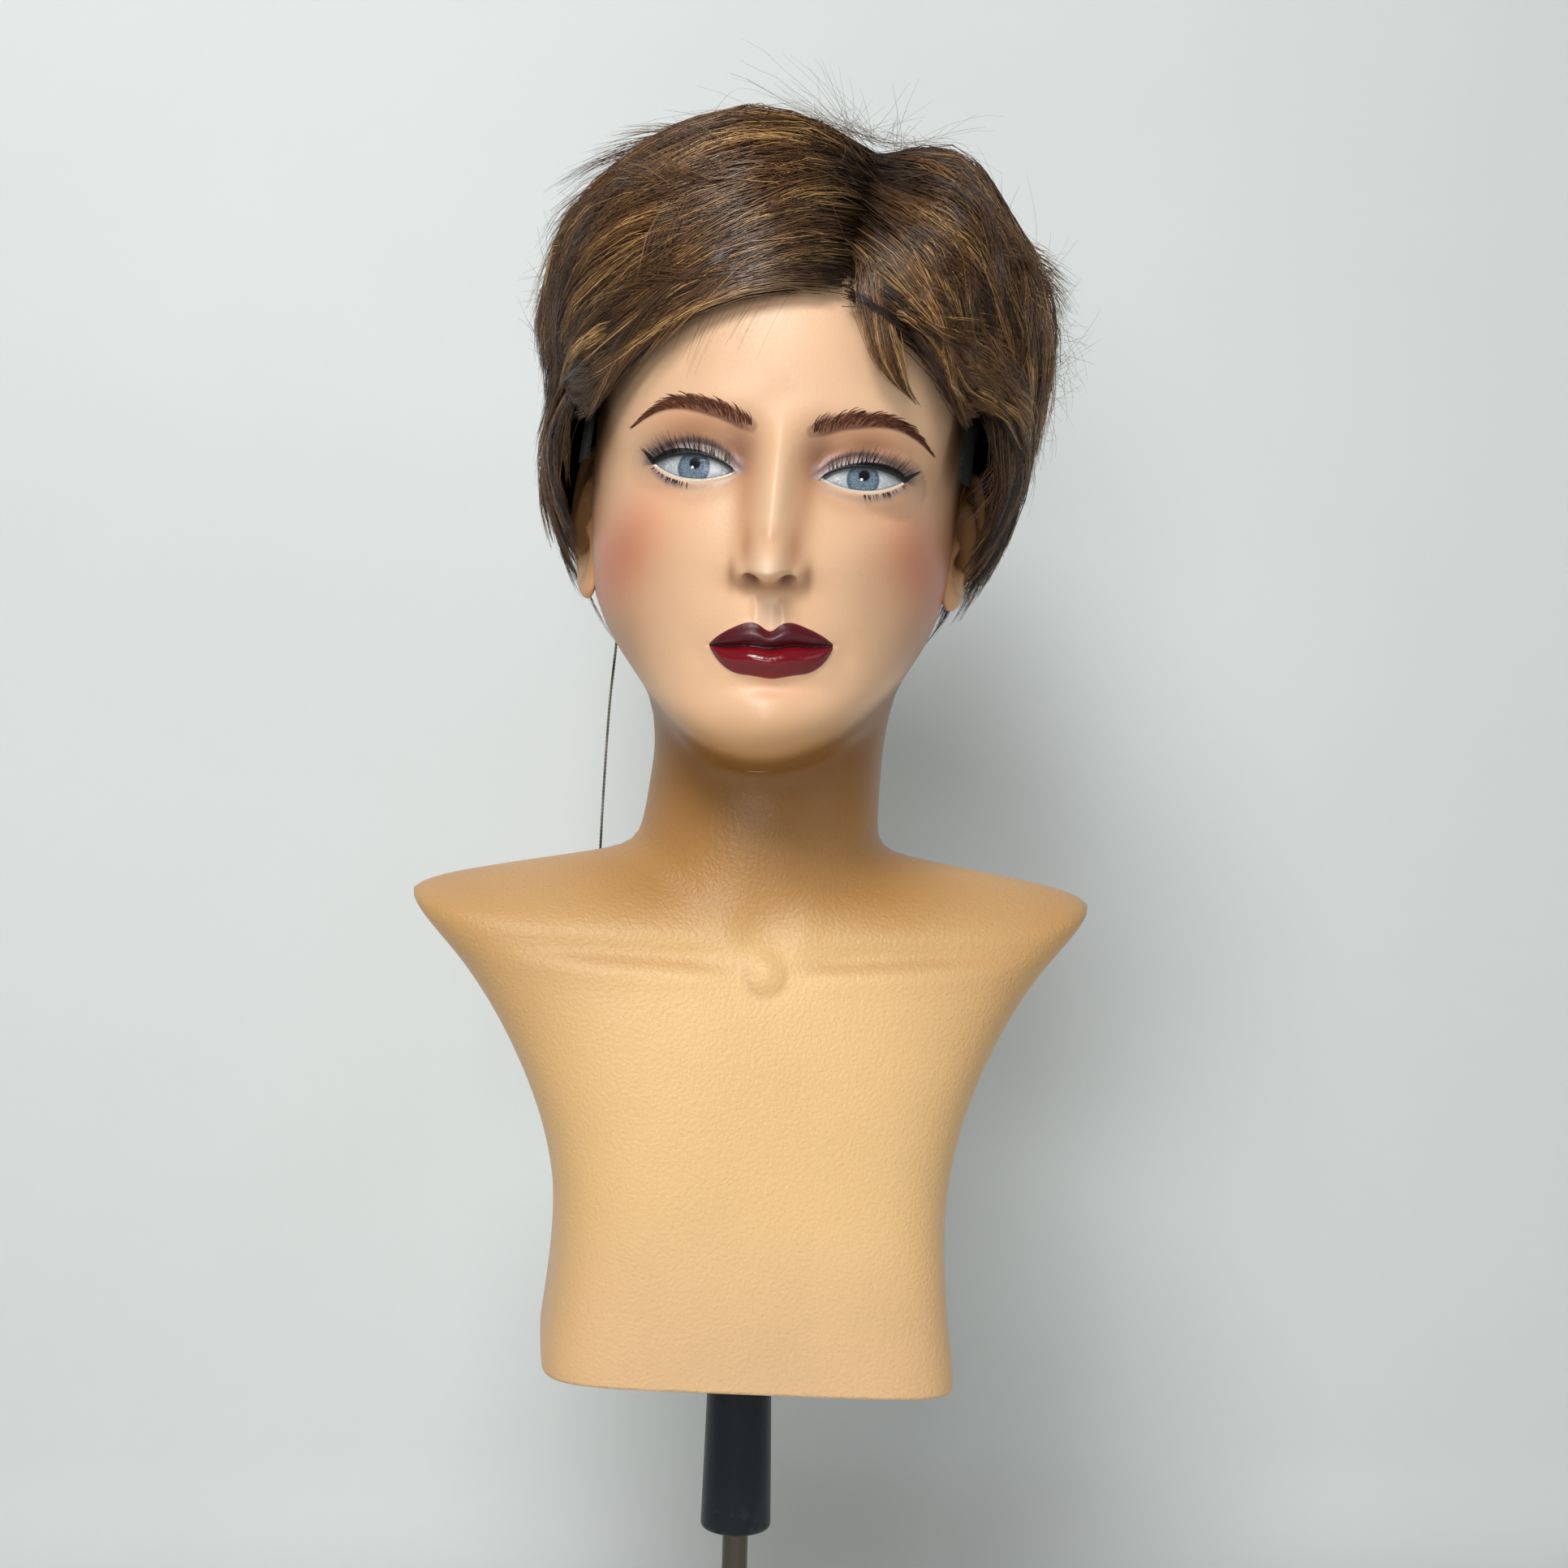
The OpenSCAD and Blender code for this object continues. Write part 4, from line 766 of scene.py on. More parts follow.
def skin_material():
    """Airbrushed paint from the mesh; smooth fields of the mesh cut the lips, eyes, liner and brow wash."""
    material, tree = new_material("painted_skin")

    def field(name):
        return parts(tree, attribute(tree, name, "Vector"))

    def step(value, low, high, weight=1.0):
        mask = step_mask(tree, value, low, high)
        return mask if weight == 1.0 else times(tree, mask, weight)

    def size(value):
        return math(tree, "ABSOLUTE", value)

    inside, line = field("lip")[:2]
    lips, upper = step(inside, -0.25, 0.15), step(line, -0.3, 0.3)
    red = layered(tree, linear(118, 12, 24), (upper, linear(80, 5, 16)),
                  (step(inside, 1.3, 0.0, 0.35), linear(128, 40, 70)),
                  # a dark line along the mouth: painted shade in the groove between the lips
                  (step(size(line), 0.75, 0.1, 0.85), linear(40, 4, 10)))
    # sclera, iris with its fibres, pupil, the lid's shade and rims, catch-light
    ex, ez, opening = field("eye")
    liner, below_lid, over_rim = field("liner")
    radius = distance(tree, ex, ez, 0.0, 0.0)
    polar = add(tree, "ShaderNodeCombineXYZ", {0: times(tree, math(tree, "ARCTAN2", ez, ex), 4.0),
                                               1: times(tree, radius, 0.25)})
    spokes = add(tree, "ShaderNodeTexNoise", {"Vector": polar.outputs[0], "Scale": 3.0},
                 noise_dimensions="2D").outputs["Fac"]
    iris = layered(tree, linear(82, 100, 116), (step(spokes, 0.35, 0.7), linear(128, 145, 158)),
                   (step(radius, 4.0, 6.0), linear(66, 82, 98)),
                   (step(distance(tree, ex, ez, 0.3, 1.5), 2.5, 1.6), linear(12, 14, 18)))
    brushed = noise(tree, object_place(tree), 900, 3)
    eye = layered(tree, linear(178, 182, 184), (step(size(ex), 5.5, 13.5), linear(132, 137, 142)),
                  (step(brushed, 0.45, 0.7, 0.4), linear(224, 226, 226)), (step(radius, 6.2, 5.4), iris),
                  (step(below_lid, 3.2, 0.2, 0.72), linear(30, 30, 34)),
                  (step(over_rim, 1.5, 0.9), linear(214, 200, 184)),
                  (step(size(math(tree, "SUBTRACT", over_rim, 1.35)), 0.35, 0.05, 0.55), linear(70, 66, 66)),
                  (step(distance(tree, ex, ez, -0.5, 0.0), 0.62, 0.35), linear(252, 252, 252)))
    brow, strength = field("brow")[:2]
    colour = layered(tree, attribute(tree, "paint", "Color"), (lips, red), (step(opening, -0.1, 0.15), eye),
                     (step(liner, -0.25, 0.12), linear(14, 11, 12)),
                     (step(brow, -0.7, 0.7, strength), linear(112, 64, 42)))
    # the grain is coarser on the bust; the eyes and the lower lip are wet
    height = parts(tree, object_place(tree))[2]
    grain = placed(tree, GRAIN, 1.0, math(tree, "ADD", step(height, 0.42, 0.36, 0.65), 0.15))
    lower = times(tree, lips, math(tree, "SUBTRACT", 1.0, upper))
    wet = math(tree, "MAXIMUM", step(opening, 0.0, 0.3), lower, clamp=True)
    rough = math(tree, "SUBTRACT", 0.40, times(tree, wet, 0.26))
    return finished(material, tinted(tree, colour, grain["Tone"]), rough, 0.45, grain["Normal"])


# ------------------------------------------------------------------ skin of head and bust
# Middle line of a brow: distance from the face's middle and height over the chin
BROW = [(10.6, 112.6), (15.5, 114.8), (21, 116.8), (27, 118.2), (33, 119.2), (38.5, 119.6), (43.5, 118.6),
        (48, 116.6), (52, 113.8)]


def skin_columns():
    """Azimuths of the skin's columns: dense over the eyes and mouth, wider to the side, coarse behind."""
    a = np.linspace(-1, 1, 235)
    front = SEAM * (0.60 * a + 0.40 * a ** 3)
    back = np.linspace(SEAM, np.radians(260), 47)[1:-1]
    return np.concatenate([front, back])


def evenly(fine, step, density, n):
    """n places along fine with equal lengths of step times density between them."""
    length = np.concatenate([[0], np.cumsum(step * 0.5 * (density[1:] + density[:-1]))])
    return np.interp(np.linspace(0, length[-1], n), length, fine)


def skin_rows():
    """Ring numbers of the skin's rows: dense at the collar bones, densest at the eyes, mouth and nose."""
    fine = np.linspace(2, T_HEAD - 4, 3000)
    rings = spline(RINGS, fine)
    step = np.hypot(np.diff(rings[:, 0]), 0.35 * np.diff(rings[:, 3]))
    bust = evenly(fine, step, 0.5 + bell(rings[:, 0] - 154, 17), 57)
    fine = np.linspace(T_HEAD - 4, T_TOP, 4000)
    z = spline(RINGS, fine)[:, 0] - CHIN
    density = 0.5 + 1.1 * bell(z - 100, 11) + 0.9 * bell(z - 36, 13) + 0.4 * bell(z - 64, 9)
    head = evenly(fine, np.hypot(np.diff(z), 3e-3), density, 256)
    return np.concatenate([np.linspace(0, 2, 8)[:-1], bust[:-1], head])


def make_skin():
    """Head and bust in one closed skin: the outside, the base's rim, and the inside a WALL within."""
    u, t = skin_columns(), skin_rows()
    bare = ring_points(spline(RINGS, t)[:, None], u[None])
    outer = posed(finished_skin(bare))
    # inside: every third row and each fourth column, drawn in by the wall and more behind the face
    t_in = np.append(t[:-1:3], T_TOP)
    rings = spline(RINGS, t_in)
    face = 8 * smooth(CHIN + 10, CHIN + 60, rings[:, 0]) * smooth(CHIN + 150, CHIN + 120, rings[:, 0])
    down = WALL * smooth(CHIN + 190, CHIN + 222, rings[:, 1])
    rings[:, :3] -= down[:, None]
    rings[:, 3] = np.maximum(rings[:, 3] - WALL, 0.3)
    rings[:, 4] = np.maximum(rings[:, 4] - WALL - 4 - face, 0.3)
    rings[:, 5] = np.maximum(rings[:, 5] - WALL, 0.3)
    inner = posed(slanted(ring_points(rings[:, None], u[None, ::4])))
    skin = make_piece("painted_skin", *shell(outer, inner), "bust", skin_material())
    # data for the paint, on the outside only
    x = bare[..., 0] - FACE_X
    forwards = facing(bare[..., 0], bare[..., 1])
    zb = bare[..., 2] - CHIN
    ring = np.broadcast_to(t[:, None], x.shape)
    paint = np.concatenate([skin_paint(x, bare[..., 2], zb, forwards, ring).reshape(-1, 3),
                            np.broadcast_to(linear(214, 200, 176), (inner.size // 3, 3))])
    far = np.where((forwards > 0.2) & (zb > 0), 0.0, 50.0)
    dx, dz, q, up, low = by_eye(x, zb)
    opening = np.where(np.abs(q) < 1, np.minimum(up - dz, dz - low), -np.abs(np.abs(q) - 1) * EYE_HALF)
    side = np.sign(x)
    eye = np.stack([x - side * EYE_X, dz, opening - far], -1)
    edge = 0.45 + 0.95 * smooth(-1, 0.8, q)
    beyond = np.maximum(q - 1, 0)
    centre = lids(np.clip(q, -1, 1))[0] + beyond * 14.5 + edge * 0.75
    ends = smooth(-1.12, -0.95, q) * smooth(1.45, 1.38, q)
    thick = edge * np.clip(1 - beyond / 0.42, 0, 1) * ends - 1.5 * (1 - ends)
    upper_line = thick - np.abs(dz - centre)
    inner_tear = 0.3 - np.hypot(dx + EYE_HALF + 0.6, (dz + 1.4) * 1.3)
    liner = np.stack([np.maximum(upper_line, inner_tear) - far, up - dz, dz - low], -1)
    l_up, l_line, l_low = lip_lines(x)
    inside = np.minimum(l_up - zb, zb - l_low) - far - 40 * (np.abs(x) > LIP_HALF)
    lip = np.stack([inside, zb - l_line, far], -1)
    curve = spline(np.array(BROW), np.linspace(0, len(BROW) - 1, 60))
    lower = zb + EYE_TILT * x
    near = (lower > 100) & (lower < 130) & (forwards > 0.2)
    gap = np.hypot(np.abs(x[near])[:, None] - curve[:, 0], lower[near][:, None] - curve[:, 1])
    first = gap.argmin(1)
    half = 2.6 * np.interp(first / 59, [0, 0.08, 0.35, 0.65, 0.85, 1], [0.75, 1.0, 1.08, 0.85, 0.5, 0.12])
    brow = np.full(x.shape + (3,), -9.0)
    brow[near, 0] = half - gap.min(1)
    brow[near, 1] = np.interp(first / 59, [0, 0.1, 0.3], [0.45, 0.8, 0.92])
    mesh = skin.data
    set_colours(mesh, "paint", paint)
    for name, values in (("eye", eye), ("liner", liner), ("lip", lip), ("brow", brow)):
        data = mesh.attributes.new(name, "FLOAT_VECTOR", "POINT")
        all_values = np.concatenate([values.reshape(-1, 3), np.full((inner.size // 3, 3), -50.0)])
        data.data.foreach_set("vector", all_values.ravel())
    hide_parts("front_shell", "rear_shell")


make_skin()


def make_tape():
    """The two glass tape strips over the seam, laid along the inside of the wall: a flat section of six
    points at each row, closed at both ends."""
    fine = np.linspace(0, T_TOP, 3000)
    heights = spline(RINGS, fine)[:, 1]
    rings = spline(RINGS, np.interp(np.linspace(61, 376, 90), heights, fine))
    points, faces = [], []
    for side in (-1, 1):
        u = side * (SEAM + np.array([-8, 0, 8]) / rings[:, 3:4])
        sheets = []
        for inwards in (WALL + 0.35, WALL + 0.75):
            drawn = rings.copy()
            drawn[:, 3:6] -= inwards
            sheets.append(posed(slanted(ring_points(drawn[:, None], u))))
        section = np.concatenate([sheets[0], sheets[1][:, ::-1]], 1)
        faces += capped_tube(len(rings), 6, len(points) * len(rings) * 6, turned=side < 0)
        points.append(section.reshape(-1, 3))
    cloth = woven_material("resin_soaked_tape", linear(206, 198, 170), linear(170, 158, 126), 1900.0, 0.6)
    tape = make_piece("laid_tape", np.concatenate(points), faces, "bust", cloth)
    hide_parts("seam_tape")


# ------------------------------------------------------------------ brows and lashes
def on_face(x, zh, lift):
    """Posed points over the face at x from its middle and height over the chin, lift above the skin."""
    y = skin_depth(x, zh)
    return posed(np.stack([x + FACE_X, y - lift, zh + CHIN], -1))


def make_brows():
    """Fine painted strokes in relief: each starts under the brow's middle line and sweeps up and outwards,
    steeply by the nose and almost along the line at the tail."""
    rng = np.random.default_rng(3)
    n, steps = 190, 6
    for side, name in ((-1, "brow_left"), (1, "brow_right")):
        where = (np.arange(n) + rng.uniform(0, 1, n)) / n
        line = spline(np.array(BROW), where * (len(BROW) - 1))
        ahead = spline(np.array(BROW), np.minimum(where + 0.01, 1) * (len(BROW) - 1)) - line
        ahead[-1] = ahead[-2]
        heading = np.arctan2(ahead[:, 1], ahead[:, 0])
        half = 2.6 * np.interp(where, [0, 0.15, 0.6, 0.8, 1.0], [0.85, 1.05, 0.9, 0.55, 0.12])
        row = rng.uniform(-1, 0.45, n)
        slant = np.interp(where, [0, 0.3, 0.7, 1], [1.15, 0.8, 0.45, 0.1]) + rng.normal(0, 0.08, n)
        long = np.interp(where, [0, 0.2, 0.7, 1], [4.4, 5.4, 5.2, 4.0]) * rng.uniform(0.75, 1.15, n)
        t = np.linspace(0, 1, steps)[None]
        bend = slant[:, None] * (1.15 - 0.55 * t) + heading[:, None]
        off = 0.9 * row * half
        x = (line[:, 0] - np.sin(heading) * off)[:, None] + long[:, None] * t * np.cos(bend)
        z = (line[:, 1] + np.cos(heading) * off)[:, None] + long[:, None] * t * np.sin(bend)
        paths = on_face(side * x, z - EYE_TILT * side * x, 0.06)
        swell = (1 - 0.78 * t ** 1.5) * (0.55 + 0.45 * np.minimum(t * 6, 1))
        radii = rng.uniform(0.18, 0.32, n)[:, None] * swell
        colours = mix(BROW_DARK, BROW_RED, rng.uniform(0, 1, n))
        points, faces = tubes(paths, radii, 4)
        piece = make_piece(name, points, faces, "bust", STROKES)
        set_colours(piece.data, "tint", np.repeat(colours, 4 * steps, 0))


def make_lashes():
    """Thin tapered hairs. The upper ones stand on the lid's edge and swing forwards, up and, towards the
    temple, outwards; the short lower ones hang from the outer half of the lower lid's edge."""
    rng = np.random.default_rng(5)
    n_up, n_low, steps = 84, 26, 8
    for side, name, node in ((-1, "lashes_left", "lash_strip_left"), (1, "lashes_right", "lash_strip_right")):
        q = np.sort(rng.uniform(-0.86, 1.08, n_up))
        q = np.round(q * 11) / 11 * 0.45 + q * 0.55
        t = np.linspace(0, 1, steps)[None]
        long = np.interp(q, [-0.9, -0.2, 0.5, 1.1], [4.6, 6.8, 8.8, 7.6]) * rng.uniform(0.72, 1.12, n_up)
        fan = np.interp(q, [-0.9, -0.3, 0.3, 1.1], [-0.30, 0.08, 0.45, 1.10]) + rng.normal(0, 0.13, n_up)
        root_x = EYE_X + EYE_HALF * q
        root_z = EYE_Z + lids(q)[0] + 0.9 + 0.5 * np.maximum(q - 1, 0) * 14
        out = 0.15 + long[:, None] * (0.46 * np.sin(1.25 * t))
        rise = long[:, None] * (0.98 * t ** 1.25) * np.cos(fan)[:, None] * 0.86
        away = long[:, None] * t ** 1.1 * np.sin(fan)[:, None] * 0.8
        low_q = np.sort(rng.uniform(0.05, 1.02, n_low))
        low_long = rng.uniform(1.3, 2.5, n_low)[:, None] * t
        low_fan = (np.interp(low_q, [0, 1], [0.1, 0.75]) + rng.normal(0, 0.15, n_low))[:, None]
        low_x, low_z = EYE_X + EYE_HALF * low_q, EYE_Z + lids(low_q)[1] - 0.7
        x = np.concatenate([root_x[:, None] + away, low_x[:, None] + low_long * np.sin(low_fan)])
        z = np.concatenate([root_z[:, None] + rise, low_z[:, None] - low_long * np.cos(low_fan)])
        base = np.concatenate([skin_depth(side * root_x, root_z - EYE_TILT * side * root_x),
                               skin_depth(side * x[n_up:, 0], z[n_up:, 0])])[:, None]
        skin_y = skin_depth(side * x, z - EYE_TILT * side * x)
        ahead = np.concatenate([out, 0.1 + 0.8 * np.sin(1.6 * t) * np.ones((n_low, 1))])
        y = np.minimum(base - ahead, skin_y - 0.12 - 0.3 * np.sin(pi * t))
        paths = posed(np.stack([side * x + FACE_X, y, z - EYE_TILT * side * x + CHIN], -1))
        radii = np.concatenate([rng.uniform(0.085, 0.125, n_up), rng.uniform(0.12, 0.19, n_low)])[:, None]
        radii = radii * (1 - 0.8 * t ** 1.6)
        points, faces = tubes(paths, radii, 3)
        piece = make_piece(name, points, faces, "bust", STROKES)
        set_colours(piece.data, "tint", np.broadcast_to(LASH_BLACK, (len(points), 3)))
        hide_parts(node)


BROW_DARK, BROW_RED = linear(56, 28, 18), linear(112, 60, 38)
LASH_BLACK = linear(26, 20, 18)
STROKES = tint_material("brow_and_lash", 1.6, 0.2, 0.6, 0.25)
make_brows()
make_lashes()


# ------------------------------------------------------------------ ears
# Outline of an ear on its own plate: distance behind its root and height over its middle
EAR_OUTLINE = [(-5, 8), (-4, 19), (2, 27), (10, 31.5), (19, 31), (26, 26), (30, 17), (30.5, 6), (27.5, -5),
               (22.5, -14), (17, -21), (12, -28), (6, -31), (0, -29), (-4, -22), (-5.5, -8)]
EAR_ROOT, EAR_FLARE = (67.5, -6.0, 88.0), radians(21)


def ear_relief(w, h, edge):
    """Height of an ear's outer face over its plate: rolled helix along the rim, the groove inside it, the
    antihelix with its fork, the bowl, the two small lobes at the bowl's mouth, and the soft ear lobe."""
    rolled = smooth(-17, -6, h) * smooth(-3, 4, w + 0.25 * (h - 5))
    z = 2.6 + 2.8 * rolled * bell(edge - 2.0, 2.0) - 1.6 * rolled * bell(edge - 6.0, 2.0)
    ridge = np.abs(np.hypot((w - 7) / 0.80, h + 1) - 15.5)
    z += 2.6 * bell(ridge, 2.6) * smooth(-14, -8, h) * smooth(2, 9, w)
    z -= 7.0 * flat_hump(w, h, 8.5, -1.5, 7.5, 10, 1.4)
    z += 1.2 * hump(w, h, 6, 3.5, 7, 1.6)
    z += 4.0 * hump(w, h, 0.5, -3, 3.2, 4.6) + 2.4 * hump(w, h, 9, -13.5, 4.2, 3.2)
    return z + 1.2 * hump(w, h, 7, -23, 7, 6)


def make_ears():
    """Each ear is one closed sheet: rays from its middle to the outline over the outer face, round the rim
    and back over the inner face."""
    cols, rows = 96, 56
    rim = closed_curve(EAR_OUTLINE, cols)
    middle = np.array([9.0, 0.0])
    v = np.linspace(0.0, 1.0, rows)[:, None]
    c = np.cos(pi * v)
    reach = np.clip(1 - np.abs(c) ** 2.2, 0.0, 1) ** 0.55
    reach[0] = reach[-1] = 0.004
    w = middle[0] + (rim[:, 0] - middle[0])[None] * reach
    h = middle[1] + (rim[:, 1] - middle[1])[None] * reach
    edge = np.hypot(*(rim - middle).T)[None] * (1 - reach)
    face = np.sign(c) * (1 - np.clip(reach, 0, 1) ** 14) ** 0.5
    outer = ear_relief(w, h, edge)
    o = 1.2 + np.where(face > 0, face * outer, face * (2.0 + 1.5 * (1 - reach ** 2)))
    tone = mix(EAR_TONE, EAR_SHADE, 0.75 * hump(w, h, 8, -1, 8, 11) * (face > 0))
    tone = mix(tone, EAR_SHADE, 0.4 * bell(edge - 6.0, 2.2) * (face > 0))
    tone = mix(tone, FACE_TONE, 0.35 * smooth(-18, -26, h))
    for side, name in ((-1, "ear_left"), (1, "ear_right")):
        flat = np.stack([side * (EAR_ROOT[0] + w * sin(EAR_FLARE) + o * cos(EAR_FLARE)),
                         EAR_ROOT[1] + w * cos(EAR_FLARE) - 0.3 * o + 0.17 * h,
                         CHIN + EAR_ROOT[2] + 0.985 * h], -1)
        ear = make_piece(name, posed(flat), capped_tube(rows, cols, turned=side < 0), "bust", EAR_PAINT)
        set_colours(ear.data, "tint", tone)


EAR_TONE, EAR_SHADE = linear(206, 150, 98), linear(126, 78, 46)
EAR_PAINT = tint_material("painted_ear", 1.0, 0.16, 0.42, 0.45)
make_ears()


# ------------------------------------------------------------------ hair
def unposed(p):
    """Inverse of posed(), by repeated correction of the place."""
    q = p.copy()
    for _ in range(8):
        q += p - posed(q)
    return q


def smoothed(grid):
    """Weighted means of 1, 2, 1 along the last two axes, the last one closed, the other with held ends."""
    wide = np.concatenate([grid[:, :, -1:], grid, grid[:, :, :1]], 2)
    grid = 0.25 * wide[:, :, :-2] + 0.5 * wide[:, :, 1:-1] + 0.25 * wide[:, :, 2:]
    tall = np.concatenate([grid[:, :1], grid, grid[:, -1:]], 1)
    return 0.25 * tall[:, :-2] + 0.5 * tall[:, 1:-1] + 0.25 * tall[:, 2:]


def hair_room():
    """Radii of the hair solids' inside and outside, seen from the middle of the unposed head, on a grid of
    azimuth and latitude. Directions without hair take the nearest row's radii."""
    points, faces = [], []
    start = 0
    for name in HAIR_NODES:
        mesh = NODES[name].data
        place = np.empty(len(mesh.vertices) * 3)
        mesh.vertices.foreach_get("co", place)
        place = place.reshape(-1, 3) * 1000
        place[:, 2] -= BASE
        points.append(unposed(place))
        mesh.calc_loop_triangles()
        tri = np.empty(len(mesh.loop_triangles) * 3, int)
        mesh.loop_triangles.foreach_get("vertices", tri)
        faces.append(tri.reshape(-1, 3) + start)
        start += len(place)
    tree = BVHTree.FromPolygons(np.concatenate(points).tolist(), np.concatenate(faces).tolist())
    centre, outside = Vector((0, HEAD_Y, CHIN + MIDDLE)), 300
    az, lat = np.radians(np.arange(-180, 180, AZ_STEP)), np.radians(np.arange(LOWEST, 91, LAT_STEP))
    radii = np.full((2, len(lat), len(az)), np.nan)
    for i, b in enumerate(lat):
        for j, a in enumerate(az):
            d = Vector((sin(a) * cos(b), -cos(a) * cos(b), sin(b)))
            far = tree.ray_cast(centre + d * outside, -d)
            near = tree.ray_cast(centre, d)
            if far[0] is not None:
                radii[:, i, j] = near[3], outside - far[3]
    for k in range(2):
        for j in range(len(az)):
            column = radii[k, :, j]
            known = np.flatnonzero(~np.isnan(column))
            radii[k, :, j] = np.interp(np.arange(len(lat)), known, column[known])
    radii[1] = np.maximum(radii[1], radii[0] + 5)
    rho = 90 - np.degrees(lat)[:, None]
    p, q = rho * np.sin(az)[None], rho * np.cos(az)[None]
    radii[1] += 7 * hump(p, q, 26, 8, 12, 30) - 4.5 * hump(p, q, 2, 10, 10, 26)
    radii[1] -= 5 * hump(p, q, -112, -16, 22, 34) + 3 * hump(p, q, 116, -20, 20, 30)
    radii[1] -= 4.5 * smooth(-52, -84, p)
    radii[1] = np.maximum(radii[1], radii[0] + 4)
    radii = smoothed(smoothed(radii))
    return np.concatenate([radii, radii[:, :, :1]], 2)


HAIR_NODES = ["hair_" + part for part in ("crown", "fringe", "front_lock", "side_left", "side_right", "back",
                                          "nape")]
MIDDLE = 130                            # the skull's middle over the chin
LOWEST, LAT_STEP, AZ_STEP = -68, 4, 5   # lowest latitude and steps of the grid, in degrees
ROOM = hair_room()


def on_wig(p, q, depth):
    """Points of the wig. (p, q) is the flat map whose middle is the crown: degrees away from it towards +X
    and towards the face. depth runs from 0 on the hair's inside to 1 on its outside."""
    rho = np.hypot(p, q)
    az, lat = np.degrees(np.arctan2(p, q)), 90 - rho
    i = np.clip((lat - LOWEST) / LAT_STEP, 0, ROOM.shape[1] - 1.001)
    j = np.clip((az + 180) / AZ_STEP, 0, ROOM.shape[2] - 1.001)
    i0, j0 = i.astype(int), j.astype(int)
    fi, fj = i - i0, j - j0
    r = ((1 - fi) * (1 - fj) * ROOM[:, i0, j0] + fi * (1 - fj) * ROOM[:, i0 + 1, j0]
         + (1 - fi) * fj * ROOM[:, i0, j0 + 1] + fi * fj * ROOM[:, i0 + 1, j0 + 1])
    r = r[0] + depth * (r[1] - r[0])
    a, b = np.radians(az), np.radians(lat)
    flat = np.stack([r * np.sin(a) * np.cos(b), HEAD_Y - r * np.cos(a) * np.cos(b),
                     CHIN + MIDDLE + r * np.sin(b)], -1)
    return posed(flat)


WHORL = np.array([14.0, -5.0])
PART_END = np.array([15.0, 61.0])
# Height over the chin of the hair's lower edge, by azimuth
EDGE_AZ = [-180, -150, -135, -125, -110, -102, -92, -80, -68, -60, -50, -38, -25, -10, 8, 14, 20, 26, 34, 42,
           52, 60, 70, 82, 92, 102, 110, 125, 135, 150, 180]
EDGE_Z = [40, 41, 46, 60, 80, 94, 108, 114, 120, 126, 134, 147, 158, 166, 172, 172, 163, 150, 138, 138, 134,
          126, 118, 112, 106, 95, 84, 68, 52, 42, 40]


def flat_place(az, z):
    """Flat-map place of azimuths az in degrees at heights z over the chin."""
    c = np.cos(np.radians(az))
    rho = 90 - np.degrees(np.arctan2(z - MIDDLE, 72 + 22 * c * c))
    return np.stack([rho * np.sin(np.radians(az)), rho * c], -1)


def edge_place(az, above=0.0):
    """Flat-map place above the hair's lower edge at azimuths az."""
    az = (az + 180) % 360 - 180
    return flat_place(az, np.interp(az, EDGE_AZ, EDGE_Z) + above)


def cubic(p0, p1, p2, p3, s):
    """Cubic curve by its four controls."""
    s = s[..., None]
    return (1 - s) ** 3 * p0 + 3 * s * (1 - s) ** 2 * p1 + 3 * s ** 2 * (1 - s) * p2 + s ** 3 * p3


def cubic_through(p0, q1, q2, p3, s):
    """Cubic curve through four places, the middle two at a third and two thirds of the way."""
    p1, p2 = (-5 * p0 + 18 * q1 - 9 * q2 + 2 * p3) / 6, (2 * p0 - 9 * q1 + 18 * q2 - 5 * p3) / 6
    return cubic(p0, p1, p2, p3, s)


def side_flow(ends, end_rise, past, *stops):
    """Flow from the parting to one side: a is 0 at the parting's front end, where the locks run along the
    hair's front edge, and 1 at the whorl, where they run straight down the side. ends are the azimuths where
    they end, stops the azimuth and rise of the front lock at a third and two thirds of its way."""
    def flow(a, s):
        root = PART_END + (WHORL - PART_END) * a[..., None]
        keep = np.clip(1 - a, 0, 1.15)[..., None] ** 1.4
        end = edge_place(ends[0] + ends[1] * a, end_rise * np.clip(1 - a, 0, 1))
        over = np.minimum(a, 0) * past
        q1, q2 = ((root + (end - root) * way) * (1 - keep) + edge_place(az + 0 * a, rise + over) * keep
                  for way, (az, rise) in zip((0.33, 0.67), stops))
        return cubic_through(root, q1, q2, end, s)
    return flow


left_flow = side_flow((-70, -32), 14, 40, (-17, -3), (-44, -5))
right_flow = side_flow((59, 43), 2, 30, (28, 4), (44, -2))


def back_flow(a, s):
    """From the whorl straight down to the back edge, a from the left ear (0) round to the right ear (1)."""
    az = -100 - 160 * a
    root = np.broadcast_to(WHORL, a.shape + (2,))
    turn = np.radians(az)
    start = root + 4 * np.stack([np.sin(turn), np.cos(turn)], -1)
    end = edge_place(az, -5)
    swirl = np.stack([np.cos(turn), -np.sin(turn)], -1) * 5
    return cubic(start, start + (end - start) / 3 + swirl, start + (end - start) * 0.67 + swirl, end, s)


def low_side(side):
    """Flow of the under layer beside the face: from high on the side down over the top of the ear."""
    def flow(a, s):
        top = flat_place(side * (56 + 42 * a), 170 + 0 * a)
        end = flat_place(side * (72 + 32 * a), 84 - 10 * a)
        swing = np.array([side * 2.0, 6.0])
        return cubic(top, top + (end - top) * 0.35 + swing, top + (end - top) * 0.72 + swing, end, s)
    return flow


